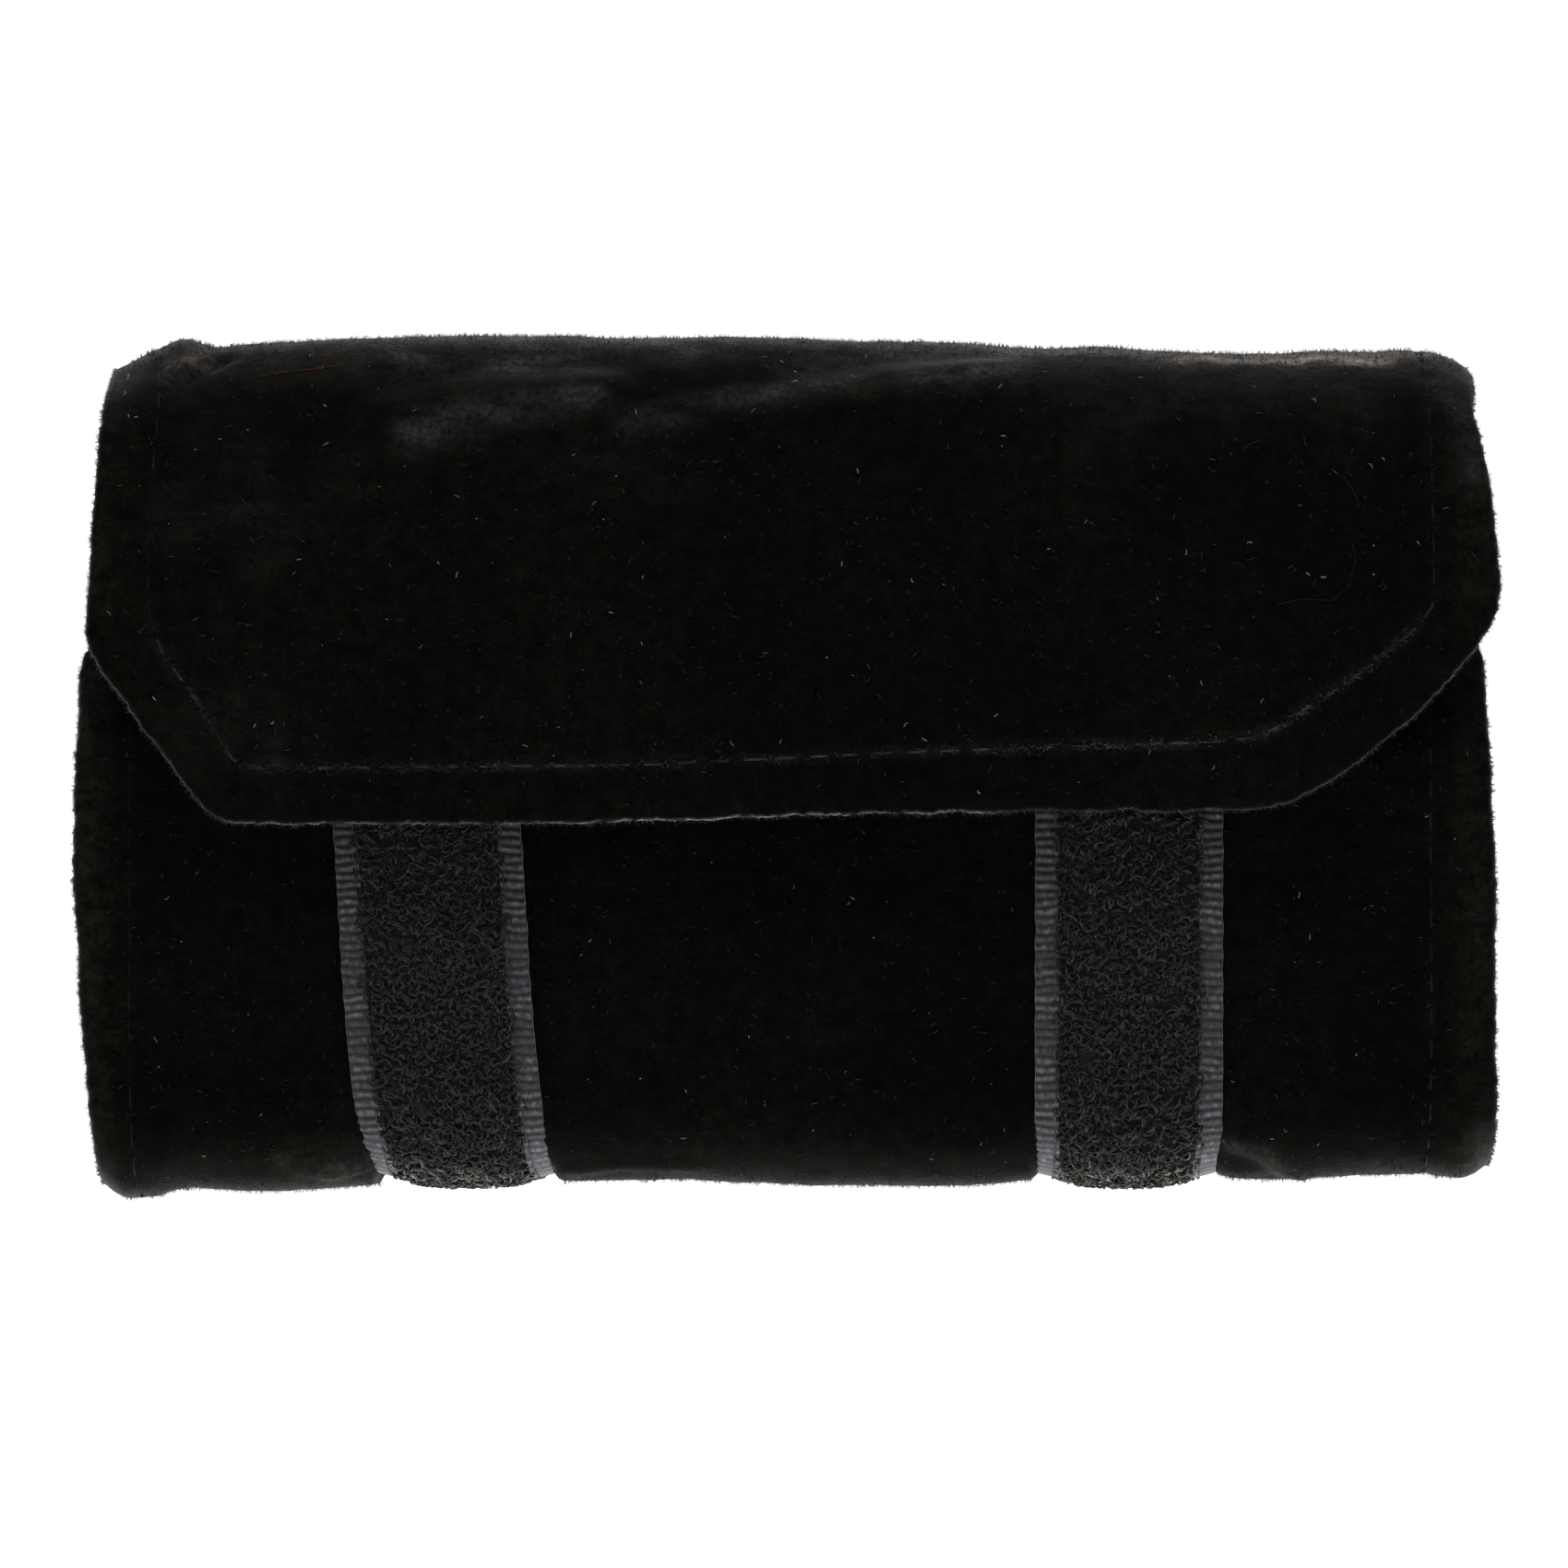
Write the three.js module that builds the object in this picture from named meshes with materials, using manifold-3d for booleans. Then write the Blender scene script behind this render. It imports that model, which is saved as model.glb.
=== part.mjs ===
// Jewelry roll: a padded velvet strip folded into a flat roll and closed by a flap with hook-and-loop tapes.
// Millimetres. The closed roll lies on its back: +X to the right, +Y to the top fold, +Z out of the front.

import * as THREE from 'three';
import { mergeVertices } from 'three/addons/utils/BufferGeometryUtils.js';
import loadManifold from 'manifold-3d';

const wasm = await loadManifold();
wasm.setup();

// Closed roll
const PANEL_WIDTH = 186;
const ROLL_HEIGHT = 110.7;
const ROLL_THICKNESS = 36;
const TOP_FOLD_WIDTH = 180;
const FRONT_REACH = 70.5;

// Fold radii on the outside of the velvet
const FLAP_FOLD_RADIUS = 15;
const BACK_TOP_RADIUS = 13;
const BACK_BOTTOM_RADIUS = 11;
const FRONT_FOLD_RADIUS = 12;
const FRONT_TIP_RADIUS = 16;
const FRONT_TIP_LENGTH = 13;
const FRONT_TIP_DROP = 4.5;
const FOLD_STEPS = 10;
const TIP_STEPS = 4;

// Layers of the strip, from the outside in
const VELVET = 1.2;
const PADDING = 2.4;
const FLAP_PADDING = 1.6;
const LINING = 0.8;
const LAYER_GAP = 0.2;
const FOLD_GAP = 0.3;
const HEM = 7.7;
const PADDING_GAP = 0.3;

// Flap outline, measured from the top fold and from the sides
const FLAP_WIDTH = 184;
const FLAP_SHOULDER_REACH = 39.5;
const FLAP_REACH_LEFT = 64.4;
const FLAP_REACH_RIGHT = 62.0;
const LEFT_CORNER_CUT = 17;
const RIGHT_CORNER_CUT = 27.5;
const LEFT_CORNER_RADIUS = 7;
const RIGHT_CORNER_RADIUS = 10;
const SHOULDER_RADIUS = 5;
const CORNER_STEPS = 5;

// Hook-and-loop tapes
const TAPE_WIDTH = 25;
const LOOP_TAPE = 1.5;
const HOOK_TAPE = 1.1;
const CLOSURE_GAP = 0.3;
const LOOP_END_MARGIN = 10;
const LEFT_TAPE_HIGH_X = -48;
const LEFT_TAPE_LOW_X = -42;
const RIGHT_TAPE_X = 45.5;
const HOOK_LENGTH = 24;
const HOOK_EDGE_MARGIN = 1.2;

// Zip pockets on the back
const POCKET_SHEET = 1.4;
const POCKET_SIDE_MARGIN = 9;
const POCKET_SPACING = 0.6;
const BINDING_MARGIN = 0.8;
const ZIP_SPACING = 34;
const ZIP_SIDE_MARGIN = 18;
const ZIP_TAPE = 0.5;
const ZIP_TAPE_WIDTH = 7;
const ZIP_TAPE_TAIL = 4;
const COIL_HEIGHT = 1.2;
const COIL_ROW_WIDTH = 1.65;
const COIL_SLIT = 1.1;
const STOP_LENGTH = 2;
const RUNNING_GAP = 0.3;

// Zip slider and pull
const SLIDER_LENGTH = 8.6;
const SLIDER_NOSE = 2.4;
const SLIDER_WING = 0.9;
const SLIDER_FLANGE = 0.8;
const SLIDER_NECK = 0.5;
const CHANNEL_GAP = 0.4;
const ARCH_WIDTH = 1.2;
const ARCH_WALL = 0.6;
const PULL_THICKNESS = 0.9;
const PULL_LENGTH = 10;
const PULL_ARM = 0.9;
const PULL_TAB_WIDTH = 4.6;
const PULL_GAP = 0.4;

// Ring bar, its bed and its snap
const RING_BAR_DIAMETER = 10;
const RING_BAR_LEFT_MARGIN = 24.5;
const RING_BAR_RIGHT_MARGIN = 56.0;
const RING_COVER = 0.8;
const BAR_STEPS = 20;
const CAP_STEPS = 5;
const BED_WIDTH = 14;
const BED_END_MARGIN = 6;
const SWING_GAP = 0.3;
const ANCHOR_FOOT = 5;
const ANCHOR_WALL = 0.8;
const ANCHOR_WIDTH = 8;
const ANCHOR_HEIGHT = 8;
const END_DISC = 1;
const END_TAB_LENGTH = 12;
const END_TAB_WIDTH = 8;
const END_TAB = 0.8;
const SNAP_DIAMETER = 7;
const SNAP_STUD_HEIGHT = 1.2;
const SNAP_SOCKET_HEIGHT = 1.2;
const SNAP_SIDES = 20;
const SNAP_CENTRE_INSET = 5;

// Places that follow from the sizes
const loopStack = LAYER_GAP + LOOP_TAPE;
const closureStack = loopStack + CLOSURE_GAP + HOOK_TAPE + LAYER_GAP;
const topY = (ROLL_HEIGHT + loopStack) / 2;
const bottomY = topY - ROLL_HEIGHT;
const flapThickness = VELVET + FLAP_PADDING + LINING + 2 * LAYER_GAP;
const panelThickness = VELVET + PADDING + LINING + 2 * LAYER_GAP;
const flapInnerZ = ROLL_THICKNESS - flapThickness;
const frontZ = flapInnerZ - closureStack;
const frontEndY = bottomY + FRONT_REACH;
const liningZ = panelThickness;

const pocketBaseZ = liningZ + LAYER_GAP;
const zipTapeZ = pocketBaseZ + POCKET_SHEET + LAYER_GAP;
const coilZ = zipTapeZ + ZIP_TAPE + LAYER_GAP;
const coilTopZ = coilZ + COIL_HEIGHT;
const coilHalf = COIL_SLIT / 2 + COIL_ROW_WIDTH;
const sliderHalf = coilHalf + RUNNING_GAP + SLIDER_FLANGE;
const channelHalf = sliderHalf + CHANNEL_GAP;
const tapeInnerY = COIL_SLIT / 2 + LAYER_GAP;

const bedTopZ = coilTopZ + SWING_GAP;
const barRadius = RING_BAR_DIAMETER / 2;
const barZ = bedTopZ + RUNNING_GAP + barRadius;
const bedHighY = topY - BACK_TOP_RADIUS;
const barY = bedHighY - BED_WIDTH / 2;
const bindingReach = tapeInnerY + ZIP_TAPE_WIDTH + BINDING_MARGIN;
const upperZipY = bedHighY - BED_WIDTH - POCKET_SPACING - bindingReach;
const lowerZipY = upperZipY - ZIP_SPACING;

// Materials
const cloth = (color, roughness) => new THREE.MeshStandardMaterial({ color, roughness, metalness: 0 });
const velvet = cloth(0x0c0b0b, 0.95);
const wadding = cloth(0xd9d5cb, 1.0);
const satin = cloth(0x17161a, 0.55);
const loopPile = cloth(0x38383e, 0.95);
const hookTape = cloth(0x232327, 0.7);
const zipTapeCloth = cloth(0x141416, 0.85);
const nylon = cloth(0x1b1b1e, 0.45);
const steel = new THREE.MeshStandardMaterial({ color: 0xb8babd, roughness: 0.3, metalness: 0.9 });

const roll = new THREE.Group();

// Solids
function solidFrom(geometry) {
  geometry.deleteAttribute('normal');
  geometry.deleteAttribute('uv');
  const merged = mergeVertices(geometry, 1e-4);
  const vertProperties = Float32Array.from(merged.attributes.position.array);
  const triVerts = Uint32Array.from(merged.index.array);
  return new wasm.Manifold(new wasm.Mesh({ numProp: 3, vertProperties, triVerts }));
}

function geometryFrom(solid) {
  const { vertProperties, triVerts, numProp } = solid.getMesh();
  const positions = [];
  for (const corner of triVerts) {
    const start = corner * numProp;
    positions.push(vertProperties[start], vertProperties[start + 1], vertProperties[start + 2]);
  }
  const geometry = new THREE.BufferGeometry();
  geometry.setAttribute('position', new THREE.Float32BufferAttribute(positions, 3));
  geometry.computeVertexNormals();
  return geometry;
}

function place(name, geometry, material) {
  const mesh = new THREE.Mesh(geometry, material);
  mesh.name = name;
  roll.add(mesh);
  return mesh;
}

function placeSolid(name, solid, material) {
  return place(name, geometryFrom(solid), material);
}

function box(x, y, z) {
  const geometry = new THREE.BoxGeometry(x[1] - x[0], y[1] - y[0], z[1] - z[0]);
  return geometry.translate((x[0] + x[1]) / 2, (y[0] + y[1]) / 2, (z[0] + z[1]) / 2);
}

function shapeFrom(points) {
  return new THREE.Shape(points.map(([u, v]) => new THREE.Vector2(u, v)));
}

// An outline in X and Y, raised from one height to another
function prism(points, low, high) {
  const settings = { depth: high - low, bevelEnabled: false };
  return new THREE.ExtrudeGeometry(shapeFrom(points), settings).translate(0, 0, low);
}

// A section in Y and Z, drawn out along X
function drawnAlongX(points, low, high) {
  const settings = { depth: high - low, bevelEnabled: false };
  const geometry = new THREE.ExtrudeGeometry(shapeFrom(points), settings).translate(0, 0, low);
  const turned = new THREE.Matrix4().set(0, 0, 1, 0, 1, 0, 0, 0, 0, 1, 0, 0, 0, 0, 0, 1);
  return geometry.applyMatrix4(turned);
}

// A convex outline with every side moved in by the same distance
function inset(points, distance) {
  const sides = points.map((point, index) => {
    const next = points[(index + 1) % points.length];
    const along = new THREE.Vector2(next[0] - point[0], next[1] - point[1]).normalize();
    const start = new THREE.Vector2(point[0] - along.y * distance, point[1] + along.x * distance);
    return { start, along };
  });
  return sides.map((side, index) => {
    const before = sides[(index + sides.length - 1) % sides.length];
    const turn = before.along.cross(side.along);
    const gap = side.start.clone().sub(before.start);
    const reach = gap.cross(side.along) / turn;
    return [before.start.x + before.along.x * reach, before.start.y + before.along.y * reach];
  });
}

// An outline with some of its corners rounded; a radius of 0 leaves a corner as it is
function rounded(points, radii) {
  return points.flatMap((point, index) => {
    if (!radii[index]) return [point];
    const corner = new THREE.Vector2(...point);
    const before = new THREE.Vector2(...points[(index + points.length - 1) % points.length]);
    const after = new THREE.Vector2(...points[(index + 1) % points.length]);
    const incoming = corner.clone().sub(before).normalize();
    const outgoing = after.clone().sub(corner).normalize();
    const turn = Math.acos(incoming.dot(outgoing));
    const setback = radii[index] * Math.tan(turn / 2);
    const start = corner.clone().addScaledVector(incoming, -setback);
    const centre = start.clone().add(new THREE.Vector2(-incoming.y, incoming.x).multiplyScalar(radii[index]));
    const arc = [];
    for (let step = 0; step <= CORNER_STEPS; step += 1) {
      const onArc = start.clone().rotateAround(centre, (turn * step) / CORNER_STEPS);
      arc.push([onArc.x, onArc.y]);
    }
    return arc;
  });
}

// The strip's outer face seen from its end: stations with a point and a normal into the roll
const stations = [];
const marks = {};

function addStation(y, z, heading) {
  stations.push({ y, z, along: [Math.cos(heading), Math.sin(heading)] });
  return stations.length - 1;
}

// A right turn of a given radius about the corner where two straight runs would meet
function addFold(name, corner, heading, turn, radius, steps) {
  const setback = radius * Math.tan(turn / 2);
  const centreY = corner[0] - Math.cos(heading) * setback + Math.sin(heading) * radius;
  const centreZ = corner[1] - Math.sin(heading) * setback - Math.cos(heading) * radius;
  for (let step = 0; step <= steps; step += 1) {
    const facing = heading - (turn * step) / steps;
    const y = centreY - Math.sin(facing) * radius;
    const z = centreZ + Math.cos(facing) * radius;
    const index = addStation(y, z, facing);
    if (step === 0) marks[`${name}_start`] = index;
    if (step === steps / 2) marks[`${name}_middle`] = index;
    if (step === steps) marks[`${name}_end`] = index;
  }
}

const quarter = Math.PI / 2;
const tipTurn = Math.atan2(FRONT_TIP_DROP, FRONT_TIP_LENGTH);
const flapOverrun = Math.max(FLAP_REACH_LEFT, FLAP_REACH_RIGHT) + HEM;

marks.flap_edge = addStation(topY - flapOverrun, ROLL_THICKNESS, 0);
addFold('flap_fold', [topY, ROLL_THICKNESS], 0, quarter, FLAP_FOLD_RADIUS, FOLD_STEPS);
addFold('back_top', [topY, 0], -quarter, quarter, BACK_TOP_RADIUS, FOLD_STEPS);
addFold('back_bottom', [bottomY, 0], -2 * quarter, quarter, BACK_BOTTOM_RADIUS, FOLD_STEPS);
addFold('front_fold', [bottomY, frontZ], -3 * quarter, quarter, FRONT_FOLD_RADIUS, FOLD_STEPS);
addFold('tip', [frontEndY - FRONT_TIP_LENGTH, frontZ], -4 * quarter, tipTurn, FRONT_TIP_RADIUS, TIP_STEPS);
marks.front_edge = addStation(frontEndY, frontZ - FRONT_TIP_DROP, -tipTurn);

// The stations of one panel, held back by a distance at each fold that it ends on
function run(first, last, holdBack = FOLD_GAP / 2) {
  const picked = stations.slice(marks[first], marks[last] + 1).map((station) => ({ ...station }));
  const trims = [[picked[0], first, 1], [picked[picked.length - 1], last, -1]];
  for (const [station, mark, sign] of trims) {
    if (!mark.endsWith('_middle')) continue;
    station.y += sign * station.along[0] * holdBack;
    station.z += sign * station.along[1] * holdBack;
  }
  return picked;
}

// The layer between two depths under the outer face
function layer(panelRun, outer, inner, halfWidth) {
  const at = (station, depth) => [
    station.y + station.along[1] * depth,
    station.z - station.along[0] * depth,
  ];
  const outside = panelRun.map((station) => at(station, outer));
  const inside = panelRun.map((station) => at(station, inner)).reverse();
  return solidFrom(drawnAlongX([...outside, ...inside], -halfWidth, halfWidth));
}

// One panel: velvet with its turned-in hem, the padding inside the hem and the lining over both
function panel(name, ends, outline, padding, radii = []) {
  const panelRun = run(...ends);
  const hollowRun = run(...ends, -FOLD_GAP);
  const half = PANEL_WIDTH;
  const paddingIn = VELVET + LAYER_GAP + padding;
  const liningOut = paddingIn + LAYER_GAP;
  const over = ROLL_THICKNESS;
  const cutAt = (distance) => solidFrom(prism(rounded(inset(outline, distance), radii), -over, 2 * over));
  const cut = cutAt(0);
  const hemCut = cutAt(HEM);
  const paddingCut = cutAt(HEM + PADDING_GAP);
  const shell = layer(panelRun, 0, paddingIn, half).intersect(cut);
  const hollow = layer(hollowRun, VELVET, liningOut, half).intersect(hemCut);
  placeSolid(`${name}_velvet`, shell.subtract(hollow), velvet);
  placeSolid(`${name}_padding`, layer(panelRun, VELVET + LAYER_GAP, paddingIn, half).intersect(paddingCut), wadding);
  placeSolid(`${name}_lining`, layer(panelRun, liningOut, liningOut + LINING, half).intersect(cut), satin);
}

// Panel outlines, going round anticlockwise; an open side runs past the fold that it ends on
const past = HEM + PANEL_WIDTH;
const flapOutline = [
  [-FLAP_WIDTH / 2 + LEFT_CORNER_CUT, topY - FLAP_REACH_LEFT],
  [FLAP_WIDTH / 2 - RIGHT_CORNER_CUT, topY - FLAP_REACH_RIGHT],
  [FLAP_WIDTH / 2, topY - FLAP_SHOULDER_REACH],
  [TOP_FOLD_WIDTH / 2, topY],
  [TOP_FOLD_WIDTH / 2, topY + past],
  [-TOP_FOLD_WIDTH / 2, topY + past],
  [-TOP_FOLD_WIDTH / 2, topY],
  [-FLAP_WIDTH / 2, topY - FLAP_SHOULDER_REACH],
];
const flapRadii = [LEFT_CORNER_RADIUS, RIGHT_CORNER_RADIUS, SHOULDER_RADIUS, 0, 0, 0, 0, SHOULDER_RADIUS];
const topSpineOutline = [
  [-TOP_FOLD_WIDTH / 2, bottomY - past],
  [TOP_FOLD_WIDTH / 2, bottomY - past],
  [TOP_FOLD_WIDTH / 2, topY + past],
  [-TOP_FOLD_WIDTH / 2, topY + past],
];
const backOutline = [
  [-PANEL_WIDTH / 2, bottomY - past],
  [PANEL_WIDTH / 2, bottomY - past],
  [PANEL_WIDTH / 2, (topY + bottomY) / 2],
  [TOP_FOLD_WIDTH / 2, topY],
  [TOP_FOLD_WIDTH / 2, topY + past],
  [-TOP_FOLD_WIDTH / 2, topY + past],
  [-TOP_FOLD_WIDTH / 2, topY],
  [-PANEL_WIDTH / 2, (topY + bottomY) / 2],
];
const bottomSpineOutline = [
  [-PANEL_WIDTH / 2, bottomY - past],
  [PANEL_WIDTH / 2, bottomY - past],
  [PANEL_WIDTH / 2, topY + past],
  [-PANEL_WIDTH / 2, topY + past],
];
const frontOutline = [
  [-PANEL_WIDTH / 2, bottomY - past],
  [PANEL_WIDTH / 2, bottomY - past],
  [PANEL_WIDTH / 2, frontEndY],
  [-PANEL_WIDTH / 2, frontEndY],
];

panel('flap', ['flap_edge', 'flap_fold_middle'], flapOutline, FLAP_PADDING, flapRadii);
panel('top_spine', ['flap_fold_middle', 'back_top_middle'], topSpineOutline, FLAP_PADDING);
panel('back', ['back_top_middle', 'back_bottom_middle'], backOutline, PADDING);
panel('bottom_spine', ['back_bottom_middle', 'front_fold_middle'], bottomSpineOutline, PADDING);
panel('front', ['front_fold_middle', 'front_edge'], frontOutline, PADDING);

// Loop tapes: down the front panel and round onto the bottom spine; the left one leans
function loopTape(side, topX, bottomX) {
  const high = frontEndY - LOOP_END_MARGIN;
  const strip = [
    [bottomX - TAPE_WIDTH / 2, bottomY - loopStack],
    [bottomX + TAPE_WIDTH / 2, bottomY - loopStack],
    [topX + TAPE_WIDTH / 2, high],
    [topX - TAPE_WIDTH / 2, high],
  ];
  const cut = solidFrom(prism(strip, 0, 2 * ROLL_THICKNESS));
  const frontRun = run('front_fold_middle', 'front_edge');
  const spineRun = run('back_bottom_end', 'front_fold_middle');
  const onFront = layer(frontRun, -loopStack, -LAYER_GAP, PANEL_WIDTH).intersect(cut);
  const onSpine = layer(spineRun, -loopStack, -LAYER_GAP, PANEL_WIDTH).intersect(cut);
  placeSolid(`front_loop_tape_${side}`, onFront, loopPile);
  placeSolid(`bottom_spine_loop_tape_${side}`, onSpine, loopPile);
}

loopTape('left', LEFT_TAPE_HIGH_X, LEFT_TAPE_LOW_X);
loopTape('right', RIGHT_TAPE_X, RIGHT_TAPE_X);

// Hook tapes: flat under the flap, over the loop tapes' upper ends
function hookStrip(side, centreX) {
  const highZ = flapInnerZ - LAYER_GAP;
  const lowY = topY - Math.min(FLAP_REACH_LEFT, FLAP_REACH_RIGHT) + HOOK_EDGE_MARGIN;
  const across = [centreX - TAPE_WIDTH / 2, centreX + TAPE_WIDTH / 2];
  place(`flap_hook_tape_${side}`, box(across, [lowY, lowY + HOOK_LENGTH], [highZ - HOOK_TAPE, highZ]), hookTape);
}

hookStrip('left', LEFT_TAPE_HIGH_X);
hookStrip('right', RIGHT_TAPE_X);

// A zip slider's section in Y and Z: two wings on a thin neck, with flanges that hold the coil rows
function sliderSection() {
  const lowHigh = zipTapeZ - RUNNING_GAP;
  const lowLow = lowHigh - SLIDER_WING;
  const flangeLow = zipTapeZ + ZIP_TAPE + RUNNING_GAP;
  const topLow = coilTopZ + RUNNING_GAP;
  const topHigh = topLow + SLIDER_WING;
  const neck = SLIDER_NECK / 2;
  const rightSide = [
    [sliderHalf, lowLow],
    [sliderHalf, lowHigh],
    [neck, lowHigh],
    [neck, topLow],
    [sliderHalf - SLIDER_FLANGE, topLow],
    [sliderHalf - SLIDER_FLANGE, flangeLow],
    [sliderHalf, flangeLow],
    [sliderHalf, topHigh],
  ];
  const leftSide = rightSide.map(([y, z]) => [-y, z]).reverse();
  return { points: [...rightSide, ...leftSide], topHigh };
}

// Slider with the arch that its pull hangs on
const archOpening = PULL_THICKNESS + 2 * PULL_GAP;
const archInnerHalf = PULL_THICKNESS / 2 + PULL_GAP + ARCH_WALL / 2;
const archOuterHalf = archInnerHalf + ARCH_WALL;

function zipSlider(name, centreX, centreY) {
  const { points, topHigh } = sliderSection();
  const half = SLIDER_LENGTH / 2;
  const body = solidFrom(drawnAlongX(points, -half, half));
  const plan = [
    [-half, -sliderHalf * 0.8],
    [half - SLIDER_NOSE, -sliderHalf],
    [half, -sliderHalf * 0.6],
    [half, sliderHalf * 0.6],
    [half - SLIDER_NOSE, sliderHalf],
    [-half, sliderHalf * 0.8],
  ];
  const shield = body.intersect(solidFrom(prism(plan, 0, ROLL_THICKNESS)));
  const archHigh = topHigh + archOpening + ARCH_WALL;
  const across = [-ARCH_WIDTH / 2, ARCH_WIDTH / 2];
  const sink = SLIDER_WING / 2;
  const arch = solidFrom(box([-archOuterHalf, archOuterHalf], across, [topHigh - sink, archHigh]));
  const underArch = solidFrom(
    box([-archInnerHalf, archInnerHalf], [-ARCH_WIDTH, ARCH_WIDTH], [topHigh, topHigh + archOpening]),
  );
  const mesh = placeSolid(name, shield.add(arch.subtract(underArch)), steel);
  mesh.position.set(centreX, centreY, 0);
  return topHigh + archOpening / 2;
}

// Pull: a flat tab with a slot, lying out to the right, hung on the slider's arch by its end bar
function zipPull(name, pivotX, pivotY, pivotZ) {
  const barHalf = PULL_THICKNESS / 2;
  const slotHalf = ARCH_WIDTH / 2 + PULL_GAP;
  const armHalf = slotHalf + PULL_ARM;
  const archCorner = Math.hypot(archOuterHalf, archOpening / 2 + ARCH_WALL);
  const slotEnd = archCorner + PULL_GAP + barHalf;
  const tabHalf = PULL_TAB_WIDTH / 2;
  const rounding = tabHalf / 2;
  const outline = shapeFrom([
    [-barHalf, -armHalf],
    [slotEnd, -armHalf],
    [slotEnd + PULL_ARM, -tabHalf],
    [PULL_LENGTH - rounding, -tabHalf],
    [PULL_LENGTH, -tabHalf + rounding],
    [PULL_LENGTH, tabHalf - rounding],
    [PULL_LENGTH - rounding, tabHalf],
    [slotEnd + PULL_ARM, tabHalf],
    [slotEnd, armHalf],
    [-barHalf, armHalf],
  ]);
  const slot = new THREE.Path([
    new THREE.Vector2(barHalf, -slotHalf),
    new THREE.Vector2(barHalf, slotHalf),
    new THREE.Vector2(slotEnd, slotHalf),
    new THREE.Vector2(slotEnd, -slotHalf),
  ]);
  outline.holes.push(slot);
  const geometry = new THREE.ExtrudeGeometry(outline, { depth: PULL_THICKNESS, bevelEnabled: false });
  geometry.translate(0, 0, -PULL_THICKNESS / 2);
  place(name, geometry, steel).position.set(pivotX, pivotY, pivotZ);
}

// One zip pocket: sheet below the zip, binding above it, tapes on both, coil rows and stops on the tapes
function zipPocket(level, zipY, sheetLowY) {
  const sheetHalf = PANEL_WIDTH / 2 - POCKET_SIDE_MARGIN;
  const zipHalf = PANEL_WIDTH / 2 - ZIP_SIDE_MARGIN;
  const tapeHalf = zipHalf + STOP_LENGTH + ZIP_TAPE_TAIL;
  const sheetZ = [pocketBaseZ, pocketBaseZ + POCKET_SHEET];
  const across = [-sheetHalf, sheetHalf];
  place(`${level}_pocket_sheet`, box(across, [sheetLowY, zipY - channelHalf], sheetZ), satin);
  const bindingY = [zipY + channelHalf, zipY + bindingReach];
  place(`${level}_pocket_binding`, box(across, bindingY, sheetZ), satin);
  const tapeZ = [zipTapeZ, zipTapeZ + ZIP_TAPE];
  const rowZ = [coilZ, coilTopZ];
  for (const [row, sign] of [['top', 1], ['bottom', -1]]) {
    const ordered = (near, far) => [zipY + sign * near, zipY + sign * far].sort((a, b) => a - b);
    const tapeY = ordered(tapeInnerY, tapeInnerY + ZIP_TAPE_WIDTH);
    const rowY = ordered(COIL_SLIT / 2, coilHalf);
    place(`${level}_zip_tape_${row}`, box([-tapeHalf, tapeHalf], tapeY, tapeZ), zipTapeCloth);
    place(`${level}_zip_coil_${row}`, box([-zipHalf, zipHalf], rowY, rowZ), nylon);
  }
  const stopY = [zipY - coilHalf, zipY + coilHalf];
  const stopNear = zipHalf + LAYER_GAP;
  place(`${level}_zip_stop_left`, box([-stopNear - STOP_LENGTH, -stopNear], stopY, rowZ), steel);
  place(`${level}_zip_stop_right`, box([stopNear, stopNear + STOP_LENGTH], stopY, rowZ), steel);
  const sliderX = zipHalf - SLIDER_LENGTH / 2;
  const pivotZ = zipSlider(`${level}_zip_slider`, sliderX, zipY);
  zipPull(`${level}_zip_pull`, sliderX, zipY, pivotZ);
}

const upperSheetLowY = lowerZipY + bindingReach + POCKET_SPACING;
const lowerSheetLowY = bottomY + BACK_BOTTOM_RADIUS;
zipPocket('upper', upperZipY, upperSheetLowY);
zipPocket('lower', lowerZipY, lowerSheetLowY);

// Ring bar: a stuffed velvet tube, round at the anchored end and open at the end that the tab closes
function barProfile(radius, left, right) {
  const points = [];
  for (let step = 0; step <= CAP_STEPS; step += 1) {
    const angle = (quarter * step) / CAP_STEPS;
    points.push(new THREE.Vector2(radius * Math.sin(angle), left + radius * (1 - Math.cos(angle))));
  }
  points.push(new THREE.Vector2(radius, right));
  points[0].x = 0;
  return points;
}

// A profile of radius against length, turned about the bar's axis
function turnedBar(points) {
  const geometry = new THREE.LatheGeometry(points, BAR_STEPS);
  return geometry.rotateZ(-quarter).translate(0, barY, barZ);
}

function lathed(points) {
  return geometryFrom(solidFrom(turnedBar(points)));
}

const barLeftX = -PANEL_WIDTH / 2 + RING_BAR_LEFT_MARGIN;
const barRightX = PANEL_WIDTH / 2 - RING_BAR_RIGHT_MARGIN;
const coverInner = barRadius - RING_COVER;
const fillRadius = coverInner - LAYER_GAP;
const fillRightX = barRightX - LAYER_GAP;
const coverProfile = [
  ...barProfile(barRadius, barLeftX, barRightX),
  ...barProfile(coverInner, barLeftX + RING_COVER, barRightX).reverse(),
];
const fillProfile = [
  ...barProfile(fillRadius, barLeftX + RING_COVER + LAYER_GAP, fillRightX),
  new THREE.Vector2(0, fillRightX),
];
place('ring_bar_cover', lathed(coverProfile), velvet);
place('ring_bar_filling', lathed(fillProfile), wadding);

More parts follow.
